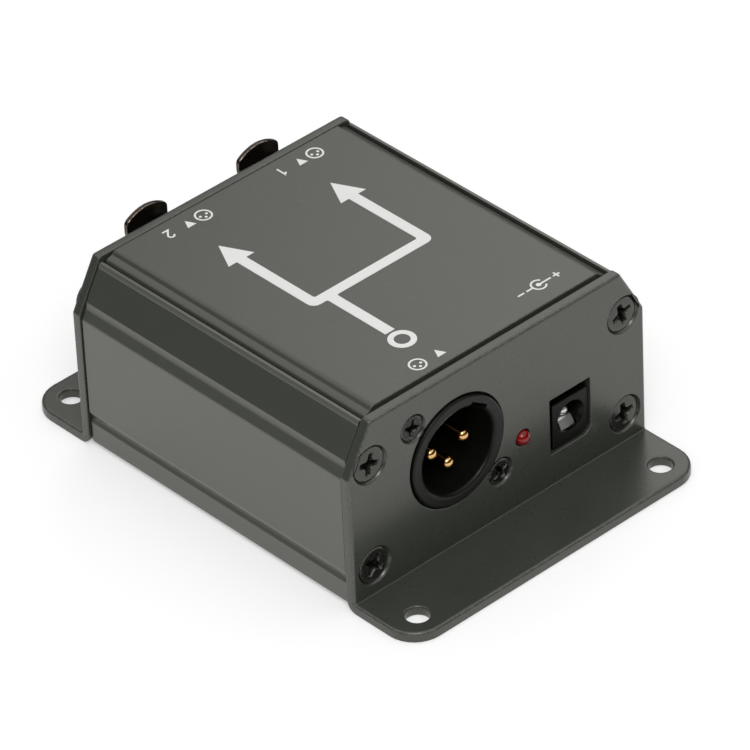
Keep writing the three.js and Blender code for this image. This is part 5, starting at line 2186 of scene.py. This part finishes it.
@dataclass(frozen=True)
class Lamp:
    """A square soft lamp: its place, its side and what it gives."""

    name: str
    place: tuple[float, float, float]
    side: float
    watts: float

    def build(self) -> None:
        """Adds the lamp, aimed at the case."""
        data = bpy.data.lights.new(self.name, "AREA")
        data.shape = "SQUARE"
        data.size = self.side
        data.energy = self.watts
        place = np.array(self.place)
        back = unit(place)
        right = unit(np.cross([0, 1, 0.01], back))
        aim(added(self.name, data), right, np.cross(back, right), back, place)


@dataclass(frozen=True)
class Studio:
    """A white tent over a pale round table, with a dim wall round it that rises on three sides."""

    light_level: float = 0.84
    floor_colour: float = 0.8
    floor_lift: float = 0.4
    floor_gap: float = 0.00004
    radius: float = 1.0
    wall_colour: float = 0.05
    wall_height: float = 0.4
    tall_sides: tuple[tuple[float, float], ...] = (
        (math.radians(141), 0.35), (math.radians(45), 0.32), (math.radians(-58), 0.3),
    )
    lamps: tuple[Lamp, ...] = (
        Lamp("key", (-0.4, -0.5, 0.77), 0.32, 2.4),
        Lamp("side", (0.62, 0.48, 0.5), 0.35, 0.45),
    )

    @staticmethod
    def _seen(wiring: Wiring) -> bpy.types.NodeSocket:
        """1 where the camera looks straight, in a reflection or through something clear.

        Args:
            wiring: Where its nodes go.

        Returns:
            The socket.
        """
        path = wiring.add("LightPath").outputs
        straight = wiring.calc("MAXIMUM", path["Is Camera Ray"], path["Is Glossy Ray"])
        return wiring.calc("MAXIMUM", straight, path["Is Transmission Ray"])

    def _world(self) -> None:
        """A world that is seen as white, and lights the object a little less."""
        world = bpy.data.worlds.new("tent")
        world.use_nodes = True
        bpy.context.scene.world = world
        wiring = Wiring(world.node_tree)
        light, white = (wiring.add("Background", {"Color": WHITE, "Strength": level}).outputs[0]
                        for level in (self.light_level, 1.0))
        mix = wiring.add("MixShader", {0: self._seen(wiring), 1: light, 2: white})
        wiring.add("OutputWorld", {"Surface": mix.outputs[0]})

    def _surface(self, name: str, shade: float, lift: float) -> bpy.types.Material:
        """A matt grey that may be seen brighter than it is lit.

        Args:
            name: Its name.
            shade: Its grey.
            lift: The glow that is only seen.

        Returns:
            The material.
        """
        material, wiring = new_material(name)
        glow = wiring.calc("MULTIPLY", self._seen(wiring), lift)
        matt = wiring.add("BsdfDiffuse", {"Color": (shade, shade, shade, 1.0)})
        bright = wiring.add("Emission", {"Color": WHITE, "Strength": glow})
        both = wiring.add("AddShader", {0: matt.outputs[0], 1: bright.outputs[0]})
        wiring.add("OutputMaterial", {"Surface": both.outputs[0]})
        return material

    def _stand(self, name: str, points: np.ndarray, faces: list[tuple[int, ...]],
               material: bpy.types.Material) -> bpy.types.Object:
        """Adds a piece of the studio.

        Args:
            name: Its name.
            points: Its points, in metres.
            faces: Its faces.
            material: Its material.

        Returns:
            The piece.
        """
        mesh = bpy.data.meshes.new(name)
        mesh.from_pydata(points, [], faces)
        mesh.materials.append(material)
        stand = added(name, mesh)
        return stand

    def _floor(self) -> None:
        """The table: a disc just under the object."""
        ring = circle(0, 0, self.radius)
        points = np.column_stack([ring, np.full(SIDES, -self.floor_gap)])
        surface = self._surface("floor", self.floor_colour, self.floor_lift)
        self._stand("floor", points, [tuple(range(SIDES))], surface)

    def _wall(self) -> None:
        """The wall, which the camera doesn't see.

        Its height is low + the sum over the tall sides of tall * max(0, cos(turn - side)) squared.
        """
        turn = np.linspace(0, 2 * HALF_TURN, SIDES, endpoint=False)
        height = np.full(SIDES, self.wall_height)
        for side, tall in self.tall_sides:
            height += tall * np.maximum(np.cos(turn - side), 0) ** 2
        ring = circle(0, 0, self.radius)
        points = np.concatenate([np.column_stack([ring, np.zeros(SIDES)]), np.column_stack([ring, height])])
        low = np.arange(SIDES)
        after = np.roll(low, -1)
        faces = list(map(tuple, np.column_stack([low, after, after + SIDES, low + SIDES]).tolist()))
        wall = self._stand("wall", points, faces, self._surface("wall", self.wall_colour, 0))
        wall.visible_camera = False

    def build(self) -> None:
        """Adds the tent, the table, the wall and the lamps."""
        bpy.context.scene.view_settings.view_transform = "Standard"
        self._world()
        self._floor()
        self._wall()
        for lamp in self.lamps:
            lamp.build()


# Assembly


@dataclass
class Splitter:
    """The whole object, put together from its sub-assemblies."""

    bench: Bench = field(default_factory=Bench)
    screw_turns: tuple[float, ...] = (0.25, -0.3, 0.65, -0.12)
    screw_leans: tuple[tuple[float, float], ...] = ((0.0, 0.0), (0.01, 0.0), (0.03, 0.03), (0.02, 0.03))

    def _plate_screws(self, end: End) -> list[Seat]:
        """The seats of one plate's screws, in the order of their nodes."""
        name = end.name.lower()
        return [Seat.of(f"{name}_plate_screw_{number}", end) for number in range(1, 5)]

    def _end(self, end: End, connectors: Sequence[Connector], others: Sequence[PowerJack | StatusLamp]) -> None:
        """Makes an end plate, its screws and what it carries.

        Args:
            end: The end.
            connectors: The connectors there.
            others: What else it carries.
        """
        seats = self._plate_screws(end)
        openings = [PLATE_SCREW.opening(seat.x, seat.z) for seat in seats]
        openings += [loop for connector in connectors for loop in connector.openings()]
        openings += [other.opening() for other in others]
        name = end.name.lower()
        self.bench.fit(EndPlate(end, openings=openings).mesh(), Look.PAINT, f"{name}_plate")
        for number, (seat, turn, lean) in enumerate(zip(seats, self.screw_turns, self.screw_leans), 1):
            self.bench.fit(PLATE_SCREW.mesh(seat, turn, lean), Look.BLACK_SCREW, f"{name}_plate_screw_{number}")
        for part in (*connectors, *others):
            part.build(self.bench)

    def _board(self) -> None:
        """Paints the board and the parts on it, which the case hides."""
        looks = {
            Look.BOARD: ["circuit_board"],
            Look.MOULDING: ["input_receiver_chip", "isolating_coupler", "line_driver_chip_1",
                            "line_driver_chip_2", "voltage_regulator", "protection_diode"],
            Look.SLEEVE: ["capacitor_1", "capacitor_2"],
            Look.CERAMIC: ["resistor_1", "resistor_2", "resistor_3"],
        }
        for look, nodes in looks.items():
            for node in nodes:
                self.bench.paint(node, look)

    def build(self) -> None:
        """Builds every sub-assembly in order."""
        places = [(seat.x, seat.z) for seat in self._plate_screws(End.FRONT)]
        self.bench.fit(Body(places).mesh(), Look.BODY_PAINT, "body_shell")
        lid = Lid()
        self.bench.fit(lid.mesh(), Look.LID_PAINT, "top_lid")
        input_seat = Seat.of("input_insert", End.FRONT)
        jack = middle("power_jack_housing")[0]
        jack_seat = Seat(End.FRONT, jack, low_high("power_jack_housing")[1][2] - PowerJack.top)
        lamp_seat = Seat.of("status_lamp", End.FRONT)
        self._end(End.FRONT, [InputConnector(input_seat)], [PowerJack(jack_seat), StatusLamp(lamp_seat)])
        outputs = [OutputConnector(Seat(End.REAR, -middle(f"output_{number}_contact_3")[0], input_seat.z),
                                   name=f"output_{number}") for number in (1, 2)]
        self._end(End.REAR, outputs, [])
        self._board()
        LidMarks(lid.top).build(self.bench, [-output.seat.x for output in outputs], input_seat.x, jack)


def main() -> None:
    """Builds the camera, the studio and the object."""
    logging.basicConfig(level=logging.INFO, format="%(name)s: %(message)s")
    Camera().build()
    Studio().build()
    splitter = Splitter()
    splitter.build()
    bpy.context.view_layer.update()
    log.info("%d fine pieces", splitter.bench.pieces)


if __name__ == "__main__":
    main()
